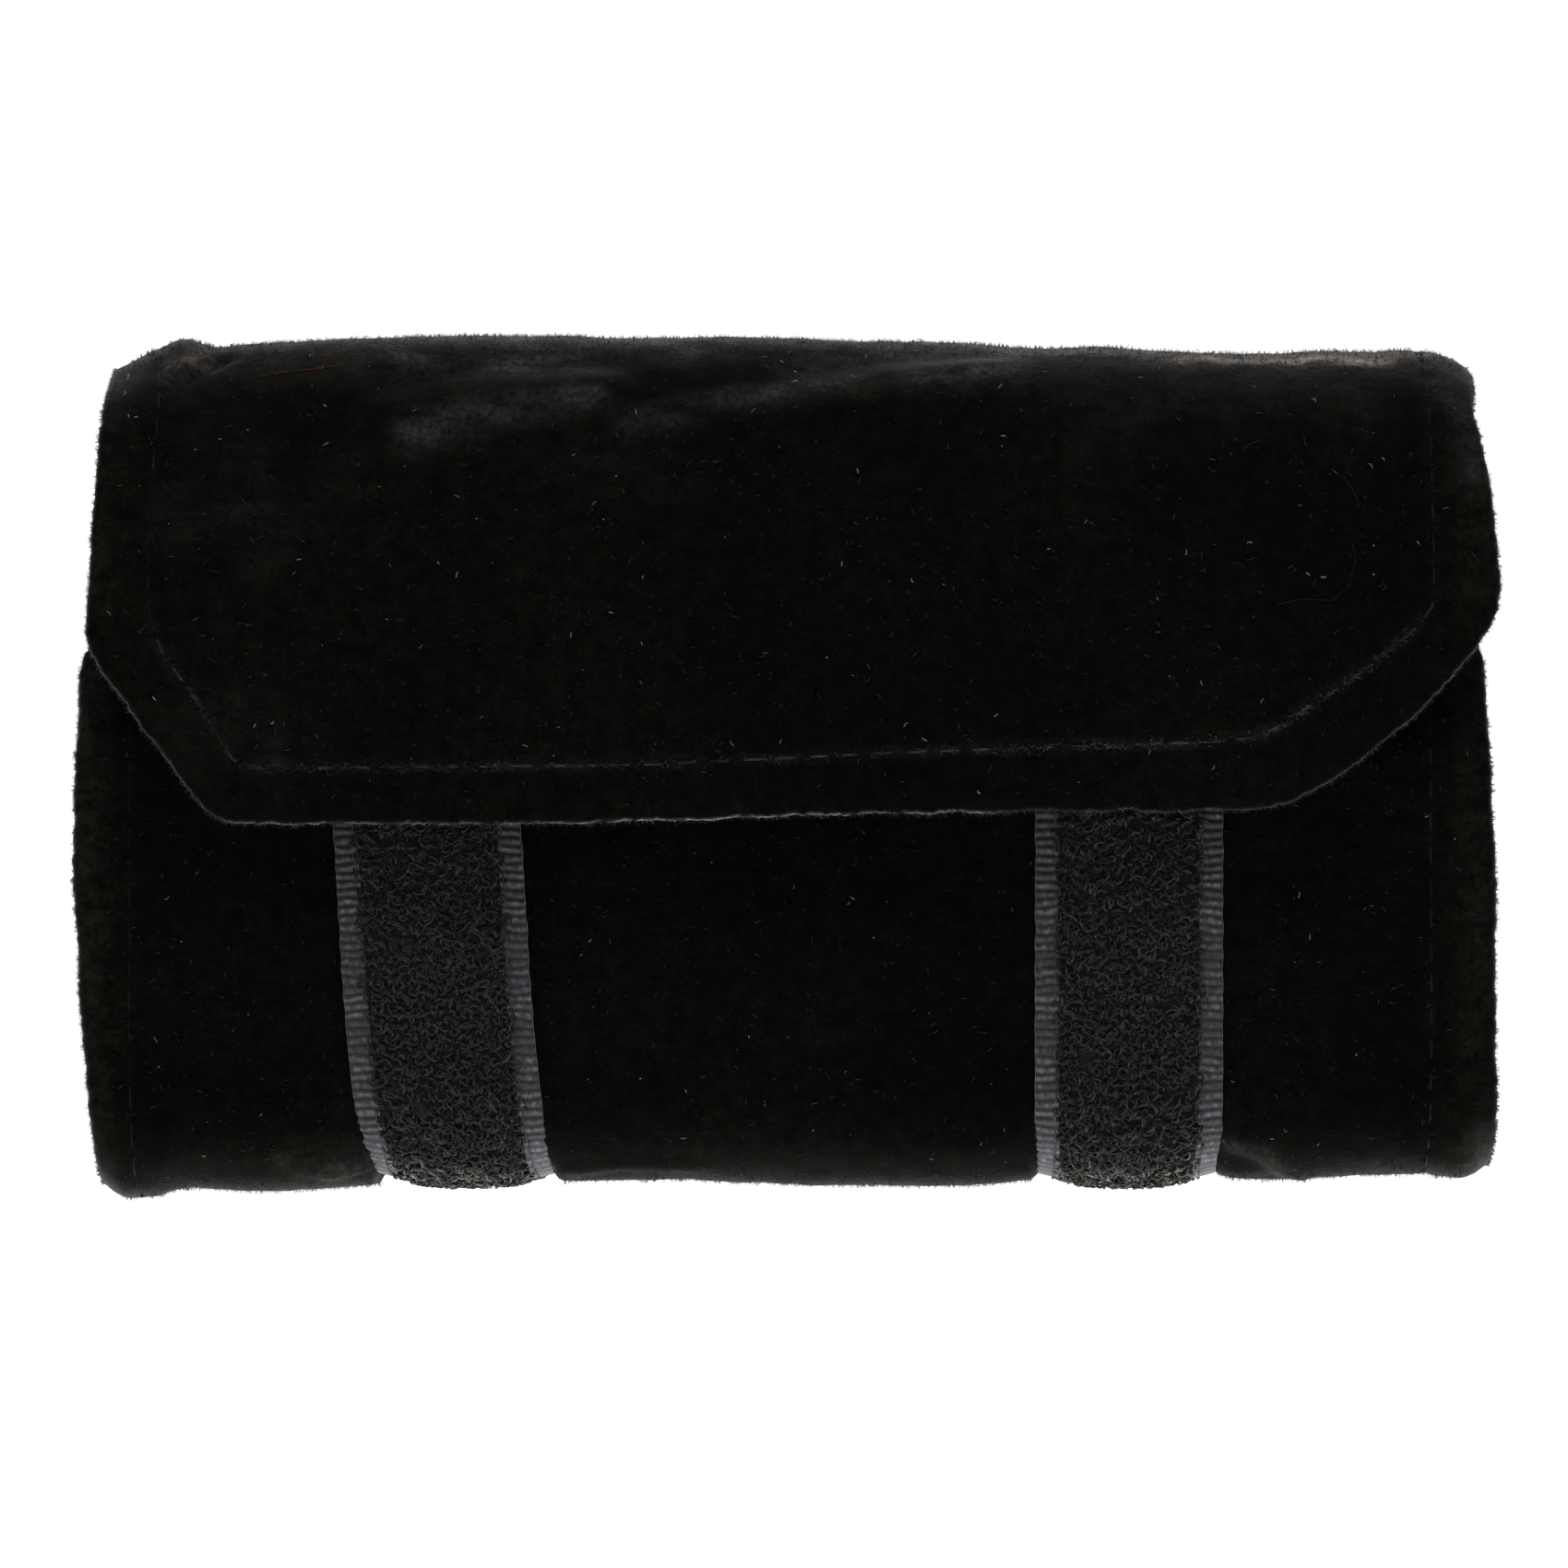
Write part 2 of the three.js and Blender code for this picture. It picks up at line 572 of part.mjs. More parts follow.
// End tab: a disc over the open end and a strap that carries the snap socket
const discLeftX = barRightX + LAYER_GAP;
const discProfile = [
  new THREE.Vector2(0, discLeftX),
  new THREE.Vector2(barRadius, discLeftX),
  new THREE.Vector2(barRadius, discLeftX + END_DISC),
  new THREE.Vector2(0, discLeftX + END_DISC),
];
const snapBaseZ = bedTopZ + LAYER_GAP;
const socketZ = snapBaseZ + SNAP_STUD_HEIGHT + RUNNING_GAP;
const strapZ = socketZ + SNAP_SOCKET_HEIGHT + LAYER_GAP;
const strapRightX = discLeftX + END_DISC + END_TAB_LENGTH;
const strapAcross = [barY - END_TAB_WIDTH / 2, barY + END_TAB_WIDTH / 2];
const strap = solidFrom(box([discLeftX + END_DISC / 2, strapRightX], strapAcross, [strapZ, strapZ + END_TAB]));
placeSolid('ring_bar_tab', solidFrom(turnedBar(discProfile)).add(strap), velvet);

// Snap: the stud on the bed, the socket under the strap
const snapX = strapRightX - SNAP_CENTRE_INSET;

function snapHalf(name, lowZ, height, topShare) {
  const radius = SNAP_DIAMETER / 2;
  const geometry = new THREE.CylinderGeometry(radius * topShare, radius, height, SNAP_SIDES);
  geometry.rotateX(quarter).translate(snapX, barY, lowZ + height / 2);
  place(name, geometry, steel);
}

snapHalf('snap_stud', snapBaseZ, SNAP_STUD_HEIGHT, 0.6);
snapHalf('snap_socket', socketZ, SNAP_SOCKET_HEIGHT, 1);

// Bed under the bar, and the anchor tab that holds the bar's round end
const anchorX = barLeftX - RUNNING_GAP;
const bedLeftX = anchorX - ANCHOR_FOOT - BED_END_MARGIN;
const bedRightX = strapRightX + BED_END_MARGIN;
const bedY = [bedHighY - BED_WIDTH, bedHighY];
place('ring_bed', box([bedLeftX, bedRightX], bedY, [pocketBaseZ, bedTopZ]), satin);

const footZ = bedTopZ + LAYER_GAP;
const anchorSection = [
  [anchorX - ANCHOR_FOOT, footZ],
  [anchorX, footZ],
  [anchorX, footZ + ANCHOR_HEIGHT],
  [anchorX - ANCHOR_WALL, footZ + ANCHOR_HEIGHT],
  [anchorX - ANCHOR_WALL, footZ + ANCHOR_WALL],
  [anchorX - ANCHOR_FOOT, footZ + ANCHOR_WALL],
];
const anchor = new THREE.ExtrudeGeometry(shapeFrom(anchorSection), { depth: ANCHOR_WIDTH, bevelEnabled: false });
anchor.rotateX(quarter).translate(0, barY + ANCHOR_WIDTH / 2, 0);
place('ring_bar_anchor', anchor, velvet);

export default roll;
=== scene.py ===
"""Looks of a closed velvet jewelry roll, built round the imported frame. Lengths are in millimetres."""

import math

import bpy
import numpy as np
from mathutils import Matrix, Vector
from mathutils.geometry import delaunay_2d_cdt
from mathutils.kdtree import KDTree


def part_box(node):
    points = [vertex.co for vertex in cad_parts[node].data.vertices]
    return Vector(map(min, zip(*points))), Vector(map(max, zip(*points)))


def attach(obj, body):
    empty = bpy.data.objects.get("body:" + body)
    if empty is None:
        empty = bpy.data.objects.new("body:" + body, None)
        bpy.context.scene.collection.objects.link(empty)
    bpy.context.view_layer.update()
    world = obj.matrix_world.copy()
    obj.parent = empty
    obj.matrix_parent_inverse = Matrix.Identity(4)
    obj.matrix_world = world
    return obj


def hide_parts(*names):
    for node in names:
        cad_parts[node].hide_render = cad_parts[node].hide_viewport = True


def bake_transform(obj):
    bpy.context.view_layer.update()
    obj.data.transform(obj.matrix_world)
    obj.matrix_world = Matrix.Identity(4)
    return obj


MM = 0.001
FLAT_UNIT = 100.0
QUARTER = math.pi / 2
FULL_TURN = 2 * math.pi
TINY = 1e-9
UP = np.array([0, 0, 1.0])
FAR = np.array([0, 1.0, 0])

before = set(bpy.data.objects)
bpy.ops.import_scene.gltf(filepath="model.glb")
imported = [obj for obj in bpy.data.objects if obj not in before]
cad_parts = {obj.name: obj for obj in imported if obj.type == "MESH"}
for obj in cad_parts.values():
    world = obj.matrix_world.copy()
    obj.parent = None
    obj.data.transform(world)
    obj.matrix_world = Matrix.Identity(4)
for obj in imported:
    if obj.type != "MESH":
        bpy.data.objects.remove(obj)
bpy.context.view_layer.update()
chance = np.random.default_rng(7)

# Camera, square-on over the lying roll
LENS = 200.0
SENSOR = 36.0
FRAME_WIDTH = 205.3
VIEW_Y = -2.66
FLAP_Z = 36.0
CAMERA_DISTANCE = FRAME_WIDTH * LENS / SENSOR

camera_data = bpy.data.cameras.new("camera")
camera_data.lens = LENS
camera_data.sensor_width = SENSOR
camera = bpy.data.objects.new("camera", camera_data)
camera.location = (0, VIEW_Y * MM, (FLAP_Z + CAMERA_DISTANCE) * MM)
bpy.context.scene.collection.objects.link(camera)
bpy.context.scene.camera = camera
bpy.context.scene.view_settings.view_transform = "Standard"

# The velvet's outer face in section, from the flap's foot to the front's end: length and degrees turned
TIP_TURN = 19.1
SECTION = [
    (51.2, 0),
    (15 * QUARTER, -90),
    (8.0, 0),
    (13 * QUARTER, -90),
    (86.7, 0),
    (11 * QUARTER, -90),
    (5.7, 0),
    (12 * QUARTER, -90),
    (42.81, 0),
    (16 * math.radians(TIP_TURN), -TIP_TURN),
    (11.07, 0),
]
FOOT_Y = -10.0
FOLD_RUNS = [(51.2, 74.76), (82.76, 103.18), (189.88, 207.16), (212.86, 231.71)]
SEAMS = (78.76, 146.5, 210.0)
ON_SEAM = 0.02

section_starts = []
place = np.array([FOOT_Y, FLAP_Z])
heading = 0.0
run_so_far = 0.0
for length, degrees in SECTION:
    bend = math.radians(degrees) / length
    section_starts.append((run_so_far, place[0], place[1], heading, bend))
    after = heading + math.radians(degrees)
    if degrees:
        step = np.array([math.sin(after) - math.sin(heading), math.cos(heading) - math.cos(after)]) / bend
    else:
        step = length * np.array([math.cos(heading), math.sin(heading)])
    place = place + step
    heading = after
    run_so_far += length
section_starts = np.array(section_starts)


def folded(x, run, height):
    """Points of the folded strip, from places on the flat strip and the height over its velvet face."""
    x, run, height = np.broadcast_arrays(*(np.asarray(value, float) for value in (x, run, height)))
    stretch = np.clip(np.searchsorted(section_starts[:, 0], run, side="right") - 1, 0, None)
    start, y, z, first, bend = np.moveaxis(section_starts[stretch], -1, 0)
    step = run - start
    angle = first + bend * step
    curve = np.where(bend == 0, 1.0, bend)
    y = y + np.where(bend == 0, np.cos(first) * step, (np.sin(angle) - np.sin(first)) / curve)
    z = z + np.where(bend == 0, np.sin(first) * step, (np.cos(first) - np.cos(angle)) / curve)
    return np.stack([x, y - np.sin(angle) * height, z + np.cos(angle) * height], axis=-1)


# Soft curves and lines on the flat strip
WAVE_COUNT = 10
WAVE_SPREAD = (0.6, 1.5)


def rising(value, start, end):
    """A soft step from 0 at the start to 1 at the end."""
    share = np.clip((value - start) / (end - start), 0, 1)
    return share * share * (3 - 2 * share)


def plateau(value, first, full, last, end):
    """A soft step up and down again: 1 between full and last, 0 before first and after end."""
    return rising(value, first, full) * rising(value, end, last)


def bell(value, width):
    """A hump of unit height at 0."""
    return np.exp(-((value / width) ** 2))


def waves(x, run, size, seed):
    """A seeded undulation of about unit height."""
    source = np.random.default_rng(seed)
    total = 0
    for _ in range(WAVE_COUNT):
        angle = source.uniform(0, FULL_TURN)
        number = FULL_TURN / size * source.uniform(*WAVE_SPREAD)
        phase = source.uniform(0, FULL_TURN)
        total = total + np.cos(number * (math.cos(angle) * x + math.sin(angle) * run) + phase)
    return total / math.sqrt(WAVE_COUNT)


def layered(x, run, layers):
    """Undulations added up, each given as height, size and seed."""
    return sum(height * waves(x, run, size, seed) for height, size, seed in layers)


def placed(*coordinates):
    """Points from their coordinates, spread to one shape."""
    return np.stack(np.broadcast_arrays(*coordinates), axis=-1)


def unit(vectors):
    """Vectors scaled to length 1."""
    return vectors / np.maximum(np.linalg.norm(vectors, axis=-1, keepdims=True), TINY)


def resampled(points, pitch):
    """A closed line with evenly spaced points."""
    closed = np.vstack([points, points[:1]])
    lengths = np.r_[0, np.cumsum(np.hypot(*np.diff(closed, axis=0).T))]
    count = int(round(lengths[-1] / pitch))
    at = np.linspace(0, lengths[-1], count, endpoint=False)
    return np.column_stack([np.interp(at, lengths, closed[:, axis]) for axis in (0, 1)])


def softened(points, reach):
    """A closed line with its corners rounded over a number of points to each side."""
    weights = np.exp(-np.linspace(-2, 2, 2 * reach + 1) ** 2)
    shifts = range(-reach, reach + 1)
    return sum(w * np.roll(points, k, axis=0) for w, k in zip(weights, shifts)) / weights.sum()


def tree_of(points):
    """A tree that finds the nearest of some points on the flat strip."""
    tree = KDTree(len(points))
    for number, (x, run) in enumerate(points):
        tree.insert((x, run, 0), number)
    tree.balance()
    return tree


def distances(tree, x, run):
    """How far places are from the nearest point of a tree."""
    flat = zip(np.ravel(x), np.ravel(run))
    return np.array([tree.find((a, b, 0))[2] for a, b in flat]).reshape(np.shape(x))


def is_inside(x, run, border):
    """Which points lie inside a closed line."""
    inside = np.zeros(np.shape(x), bool)
    for (ax, ay), (bx, by) in zip(border, np.roll(border, -1, axis=0)):
        if ay == by:
            continue
        crosses = (ay > run) != (by > run)
        inside ^= crosses & (x < (bx - ax) * (run - ay) / (by - ay) + ax)
    return inside


def line_distance(x, run, line):
    """Distance to an open line of a few points."""
    best = np.full(np.shape(x), 1e9)
    for (ax, ay), (bx, by) in zip(line[:-1], line[1:]):
        long = (bx - ax) ** 2 + (by - ay) ** 2
        share = np.clip(((x - ax) * (bx - ax) + (run - ay) * (by - ay)) / long, 0, 1)
        best = np.minimum(best, np.hypot(x - ax - share * (bx - ax), run - ay - share * (by - ay)))
    return best


def ridges(x, run, lines):
    """Soft ridges along lines, each given as height, width and points."""
    return sum(height * bell(line_distance(x, run, line), width) for height, width, line in lines)


def strip_line(foot, right_side, front, left_side, pitch, rounding):
    """A closed line round the strip: foot as (x, y), sides as (run, x), front's end as (x, run)."""
    corners = [(x, y - FOOT_Y) for x, y in foot]
    corners += [(x, run) for run, x in right_side] + front + [(x, run) for run, x in left_side]
    return softened(resampled(np.array(corners), pitch), rounding)


# Outline of the flat strip
FLAP_EDGE = [
    (-91.5, 19.3), (-91.9, 17.0), (-91.0, 14.3), (-86.0, 7.4), (-83.8, 4.1), (-82.0, 1.8), (-78.2, -3.3),
    (-75.9, -6.2), (-73.3, -7.7), (-69.0, -7.9), (-55.0, -7.9), (-30.2, -7.9), (-12.0, -7.4), (1.2, -6.9),
    (18.0, -6.5), (33.8, -6.3), (58.0, -6.1), (62.5, -5.9), (66.9, -5.2), (72.4, -1.5), (77.6, 1.6),
    (84.7, 8.3), (91.6, 15.9), (93.7, 19.6), (94.1, 23.4), (93.5, 29.5), (92.6, 37.2),
]
RIGHT_SIDE = [
    (57, 90.7), (66, 90.8), (78, 90.8), (92, 90.8), (104, 91.4), (146, 92.6), (190, 92.8), (201, 93.0),
    (212, 93.8), (223, 94.3), (231, 94.3), (238, 94.0), (246, 93.8), (254, 94.1), (262, 93.9),
    (276, 93.1), (284, 92.9),
]
FRONT_CORNERS = [(92.8, 290.0), (91.4, 292.4), (-91.4, 292.4), (-93.0, 290.0)]
LEFT_SIDE = [
    (284, -93.3), (277, -93.4), (262, -94.0), (246, -93.1), (238, -92.7), (231, -91.9), (223, -91.2),
    (212, -90.9), (201, -91.2), (190, -92.0), (146, -92.6), (104, -91.0), (92, -89.6), (78, -89.0),
    (66, -89.0), (57, -89.7), (37.5, -91.0),
]
EDGE_PITCH = 0.6
EDGE_WANDER = [(0.12, 9.0, 3), (0.06, 3.0, 5)]
EDGE_JITTER = 0.06


def with_seams(points):
    """The closed line with a point wherever it crosses a seam between two pieces of velvet."""
    made = []
    for here, there in zip(points, np.roll(points, -1, axis=0)):
        made.append(here)
        for seam in SEAMS:
            if (here[1] - seam) * (there[1] - seam) < 0:
                share = (seam - here[1]) / (there[1] - here[1])
                made.append([here[0] + share * (there[0] - here[0]), seam])
    return np.array(made)


outline = strip_line(FLAP_EDGE, RIGHT_SIDE, FRONT_CORNERS, LEFT_SIDE, pitch=0.5, rounding=6)
edge = with_seams(resampled(outline, EDGE_PITCH))
toward = unit(np.roll(edge, -1, axis=0) - np.roll(edge, 1, axis=0))
outward = np.column_stack([toward[:, 1], -toward[:, 0]])
edge_wander = layered(*edge.T, EDGE_WANDER)
edge_wander += np.random.default_rng(9).normal(0, EDGE_JITTER, len(edge))
edge = edge + outward * edge_wander[:, None]
edge_crossings = {}
for number, (x, run) in enumerate(edge):
    for seam_number, seam in enumerate(SEAMS):
        if abs(run - seam) < ON_SEAM:
            edge_crossings["left" if x < 0 else "right", seam_number] = number

# Topstitch line, a hem's width inside the outline
FLAP_STITCH = [
    (-83.3, 30.0), (-83.4, 21.0), (-82.6, 17.4), (-81.3, 14.3), (-77.4, 8.9), (-75.4, 5.9), (-72.2, 0.4),
    (-70.4, -0.5), (-67.2, -0.6), (-54.3, -0.5), (-18.1, -0.1), (18.1, 1.6), (42.3, 2.4), (55.0, 2.8),
    (61.6, 3.4), (64.7, 4.8), (68.7, 7.4), (72.3, 9.7), (76.4, 12.5), (79.0, 14.8), (82.5, 17.4),
    (85.0, 20.6), (85.2, 25.0),
]
RIGHT_STITCH = [(57, 84.6), (90, 83.4), (146, 84.8), (200, 84.8), (240, 85.4), (280, 85.2)]
FRONT_STITCH = [(83.4, 285.0), (-84.2, 285.0)]
LEFT_STITCH = [(280, -86.2), (240, -86.4), (200, -85.0), (146, -84.8), (90, -82.4), (57, -82.0)]
BORDER_SKIP = 6
stitch_line = strip_line(FLAP_STITCH, RIGHT_STITCH, FRONT_STITCH, LEFT_STITCH, pitch=0.4, rounding=4)
stitch_tree = tree_of(stitch_line)
stitch_border = stitch_line[::BORDER_SKIP]


def seam_distance(x, run):
    """Distance from the topstitch line, positive on the padded side."""
    away = distances(stitch_tree, x, run)
    return np.where(is_inside(x, run, stitch_border), away, -away)


# Loop tapes: centre line as (run, x)
TAPE_HALF = 12.35
PILE_HALF = 9.3
TAPE_RUN = (207.2, 280.0)
TAPE_CENTRE = {
    "left": [
        (207.0, -41.4), (219.0, -42.6), (224.0, -43.5), (233.8, -44.8), (243.8, -45.7), (265.5, -47.0),
        (280.0, -48.3),
    ],
    "right": [(207.0, 45.4), (280.0, 45.5)],
}


def tape_centre(side, run):
    """The middle of a tape at places along the strip."""
    runs, places = zip(*TAPE_CENTRE[side])
    return np.interp(run, runs, places)


# Heights of the velvet over its plain face: silhouette of both folds as (x, height)
TOP_RISE = [
    (-91.0, -5.0), (-88.8, -3.7), (-87.2, -3.0), (-85.5, -2.1), (-82.7, -0.6), (-80.6, 0.3), (-78.8, 0.4),
    (-77.0, -0.3), (-75.0, -0.9), (-72.5, -0.7), (-66.4, -0.3), (-60.0, -0.1), (-48.3, 0.6), (-32.0, 0.2),
    (-18.0, 0.25), (1.2, -0.35), (10.0, -0.3), (18.0, -0.15), (25.0, -0.4), (30.0, -1.0), (36.0, -1.4),
    (42.3, -1.0), (48.0, -1.5), (54.3, -1.7), (66.4, -2.05), (72.0, -1.4), (78.5, -1.4), (82.7, -0.85),
    (86.5, -1.4), (89.4, -2.6), (92.0, -5.0),
]
BOTTOM_RISE = [
    (-94.0, -1.2), (-92.2, -0.2), (-90.7, 1.3), (-89.0, 2.9), (-87.6, 3.5), (-86.4, 3.65), (-84.5, 3.5),
    (-82.8, 3.2), (-81.9, 2.6), (-80.5, 2.2), (-77.5, 2.0), (-66.4, 2.5), (-55.5, 1.8), (-42.0, 0.8),
    (-29.5, 1.5), (-25.8, 1.2), (-13.0, 0.85), (0.0, 1.6), (10.0, 1.85), (18.0, 1.8), (27.5, 1.6),
    (33.0, 1.2), (45.0, 0.6), (54.5, 0.3), (57.0, 0.1), (59.8, 0.9), (65.0, 1.15), (71.0, 0.75),
    (77.8, 0.3), (84.0, 0.4), (87.0, 0.6), (90.3, 1.0), (92.0, 0.4), (94.5, -1.5),
]
PROFILE_PITCH = 0.2
PROFILE_ROUNDING = 6


def soft_profile(pairs):
    """A finely sampled curve through a few (place, value) pairs, without their corners."""
    places, values = zip(*pairs)
    fine = np.arange(places[0] - 4, places[-1] + 4, PROFILE_PITCH)
    weights = np.exp(-np.linspace(-2.2, 2.2, 2 * PROFILE_ROUNDING + 1) ** 2)
    padded = np.pad(np.interp(fine, places, values), PROFILE_ROUNDING, mode="edge")
    return fine, np.convolve(padded, weights / weights.sum(), mode="valid")


TOP_PROFILE = soft_profile(TOP_RISE)
BOTTOM_PROFILE = soft_profile(BOTTOM_RISE)

# Soft creases: height, width and line
CREASES = [
    (0.6, 1.0, [(-81.5, 61.2), (-77.8, 65.0), (-74.8, 68.2)]),
    (-1.1, 1.0, [(-79.8, 60.4), (-76.2, 64.2), (-73.6, 66.6)]),
    (0.9, 3.4, [(-70.0, 37.0), (-58.0, 47.5), (-50.0, 54.6), (-35.0, 58.0), (-24.0, 58.8)]),
    (-0.9, 2.6, [(-52.0, 61.0), (-38.0, 63.6), (-22.0, 64.2)]),
    (0.8, 3.6, [(-10.0, 52.6), (5.0, 57.6), (18.0, 61.6), (30.0, 63.5)]),
    (-0.7, 3.0, [(-2.0, 62.0), (12.0, 66.0), (26.0, 68.0)]),
    (0.5, 4.0, [(44.0, 52.0), (60.0, 56.0), (76.0, 57.0)]),
    (0.5, 3.0, [(-78.0, 33.0), (-66.0, 36.0), (-58.0, 41.0)]),
    (0.7, 1.0, [(-64.0, 221.5), (-60.0, 219.8), (-55.0, 221.0)]),
    (-0.6, 1.2, [(-64.0, 223.8), (-60.0, 222.0), (-55.2, 223.2)]),
    (0.5, 1.4, [(-27.0, 219.0), (-20.0, 220.5), (-12.0, 219.8)]),
    (0.7, 1.2, [(58.5, 224.0), (63.0, 223.3), (66.5, 219.0), (69.0, 216.0)]),
    (-0.5, 1.6, [(59.0, 221.0), (62.5, 219.6), (64.0, 216.5)]),
]
PADDING_WAVES = [(0.22, 46, 1), (0.09, 15, 2)]
PILE_WAVES = [(0.035, 5, 4)]
PADDING_REACH = 5.0
GROOVE = 0.42
GROOVE_WIDTH = 0.8
CROWN = 0.5
HEM_SINK = 0.35
HEM_WIDTH = 8.0
HEM_ROLL = 0.12
TAPE_SUNK = 0.1
TAPE_SOFT_EDGE = (0.1, -0.9)

# Stretches of the run that fade in and out: first, full, last and end
SWOLLEN_TOP = (44, 68, 92, 108)
SWOLLEN_BOTTOM = (196, 208, 222, 238)
# Painted sheen over the top and bottom folds
PAINTED_SHEEN_TOP = (58, 72, 88, 104)
PAINTED_SHEEN_BOTTOM = (198, 208, 214, 226)
LYING_BACK = (96, 104, 190, 198)
TAPE_BEND = (198, 208, 220, 232)
# Where the tapes are worn and painted paler as a highlight on the bottom fold
TAPE_WORN_AND_LIT = (203, 208, 219, 226)
TAPE_PRESS = (TAPE_RUN[0] - 12, TAPE_RUN[0] - 6, TAPE_RUN[1] - 1, TAPE_RUN[1] + 1)

# Pale strokes painted into the velvet: pile brushed the other way, and painted sheen and highlights along the
# folds, creases and top edge, a few negative ones darker: strength, width and line
BRUSHED_AND_SHEEN = [
    (0.30, 2.1, [(-49.0, 52.8), (-44.0, 54.8), (-34.0, 56.6), (-25.0, 58.0)]),
    (0.03, 3.0, [(-68.5, 37.0), (-63.9, 41.8), (-57.0, 49.4)]),
    (0.05, 2.4, [(-82.0, 39.5), (-77.3, 40.8), (-72.0, 43.0)]),
    (0.05, 2.0, [(-81.5, 44.0), (-78.5, 46.0)]),
    (0.20, 2.0, [(-20.0, 54.6), (-6.0, 58.4), (5.6, 60.0), (15.7, 60.9), (30.2, 62.8)]),
    (-0.12, 2.0, [(-25.0, 60.4), (-14.0, 61.0), (-4.0, 62.6)]),
    (0.03, 4.0, [(-26.0, 49.0), (-14.0, 46.0)]),
    (0.14, 1.6, [(-50.0, 64.6), (-38.0, 63.6), (-26.0, 64.4)]),
    (0.03, 6.0, [(-78.0, 56.0), (-72.0, 50.0), (-69.0, 45.0)]),
    (0.04, 5.0, [(-76.0, 14.0), (-71.0, 16.0), (-66.0, 12.0)]),
    (0.04, 5.0, [(40.0, 54.0), (58.0, 58.0), (76.0, 57.0)]),
    (0.35, 0.9, [(-81.0, 61.6), (-77.8, 65.0), (-74.8, 68.2)]),
    (0.12, 3.4, [(-86.0, 63.0), (-81.0, 65.0), (-78.0, 67.0)]),
    (0.12, 3.0, [(-80.0, 74.0), (-40.0, 72.0), (0.0, 72.0), (40.0, 70.0), (84.0, 70.0)]),
    (0.20, 1.2, [(-66.0, 222.5), (-61.0, 220.4), (-55.5, 221.6)]),
    (0.06, 3.0, [(-82.0, 217.0), (-70.0, 216.0), (-56.0, 216.0)]),
    (0.22, 1.2, [(59.0, 224.0), (63.0, 223.3), (66.5, 219.0), (69.0, 216.0)]),
    (0.12, 3.0, [(66.0, 216.0), (76.0, 217.0), (86.0, 217.0)]),
    (0.18, 2.6, [(89.0, 213.0), (92.0, 217.0), (93.0, 224.0)]),
    (0.22, 2.6, [(-89.0, 216.0), (-85.0, 212.0), (-78.0, 212.0)]),
    (2.2, 1.1, [(52.0, 68.0), (60.0, 68.4), (70.0, 67.8), (79.0, 67.0)]),
    (0.5, 2.0, [(20.0, 71.5), (34.0, 71.0), (46.0, 70.0), (60.0, 71.5), (84.0, 70.0)]),
    (0.15, 2.2, [(86.0, 62.0), (89.5, 56.0), (90.5, 48.0)]),
    (0.16, 2.0, [(-40.0, 70.0), (-20.0, 71.0), (-8.0, 71.0)]),
]
STITCH_PULL = 0.2
STITCH_PULL_WIDTH = 0.75


def stitch_tone(x, run):
    """How pale the topstitch shows: clear round the flap's foot, most at its right, faint down the sides."""
    foot = rising(run, 34, 22)
    side = 0.14 + 0.06 * rising(x, 0, 40)
    return side + foot * (0.56 + 0.32 * rising(x, 10, 60))


def brushed_and_sheen_share(x, run):
    """How pale the velvet is painted at a place: painted sheen over both folds, pile pulled up along the
    topstitch, brushed pile and painted highlights.
    """
    share = (0.16 + 0.06 * rising(x, -60, -30)) * plateau(run, *PAINTED_SHEEN_TOP)
    share = share + 0.05 * plateau(run, *PAINTED_SHEEN_BOTTOM)
    caught = abs(seam_distance(x, run)) + 0.25
    share = share + STITCH_PULL * stitch_tone(x, run) * bell(caught, STITCH_PULL_WIDTH)
    return share + ridges(x, run, BRUSHED_AND_SHEEN)


def fold_rise(x, run):
    """How far both folds swell or sink along their length."""
    rise = np.interp(x, *TOP_PROFILE) * plateau(run, *SWOLLEN_TOP)
    return rise + np.interp(x, *BOTTOM_PROFILE) * plateau(run, *SWOLLEN_BOTTOM)


def tape_base(across, run):
    """Height of a tape's underside: flat on the panel, crowned across the bottom fold."""
    return plateau(run, *TAPE_BEND) * (0.5 - 1.35 * abs(across / TAPE_HALF) ** 2.4)


def velvet_height(x, run):
    """Height of the velvet over the plain face of its panel."""
    inside = seam_distance(x, run)
    padded = 1 - np.exp(-np.maximum(inside, 0) / PADDING_REACH)
    over = np.clip(-inside / HEM_WIDTH, 0, 1)
    height = CROWN * puffed(x, run, padded) - GROOVE * bell(inside, GROOVE_WIDTH) - HEM_SINK
    height += np.where(inside < 0, HEM_ROLL * (np.sin(math.pi * over) - over), 0)
    height += padded * layered(x, run, PADDING_WAVES) + layered(x, run, PILE_WAVES)
    height += ridges(x, run, CREASES)
    height += plateau(run, *LYING_BACK) * (np.minimum(height, 0) - height)
    height += fold_rise(x, run)
    for side in TAPE_CENTRE:
        across = x - tape_centre(side, run)
        pressed = rising(abs(across) - TAPE_HALF, *TAPE_SOFT_EDGE) * plateau(run, *TAPE_PRESS)
        under = tape_base(np.clip(across, -TAPE_HALF, TAPE_HALF), run) - TAPE_SUNK
        height += pressed * (under - height)
    return height


# Thickness and rim along the run, where the flap and the top spine are thinner than the rest
THIN_TO_THICK = (84, 102)
THICKNESS = (4.0, 4.8)
RIM_RADIUS = (1.65, 2.0)

# Mesh making
UPRIGHT = 0.7
ROW_SHARE = 0.866
BORDER_ROOM = 0.62


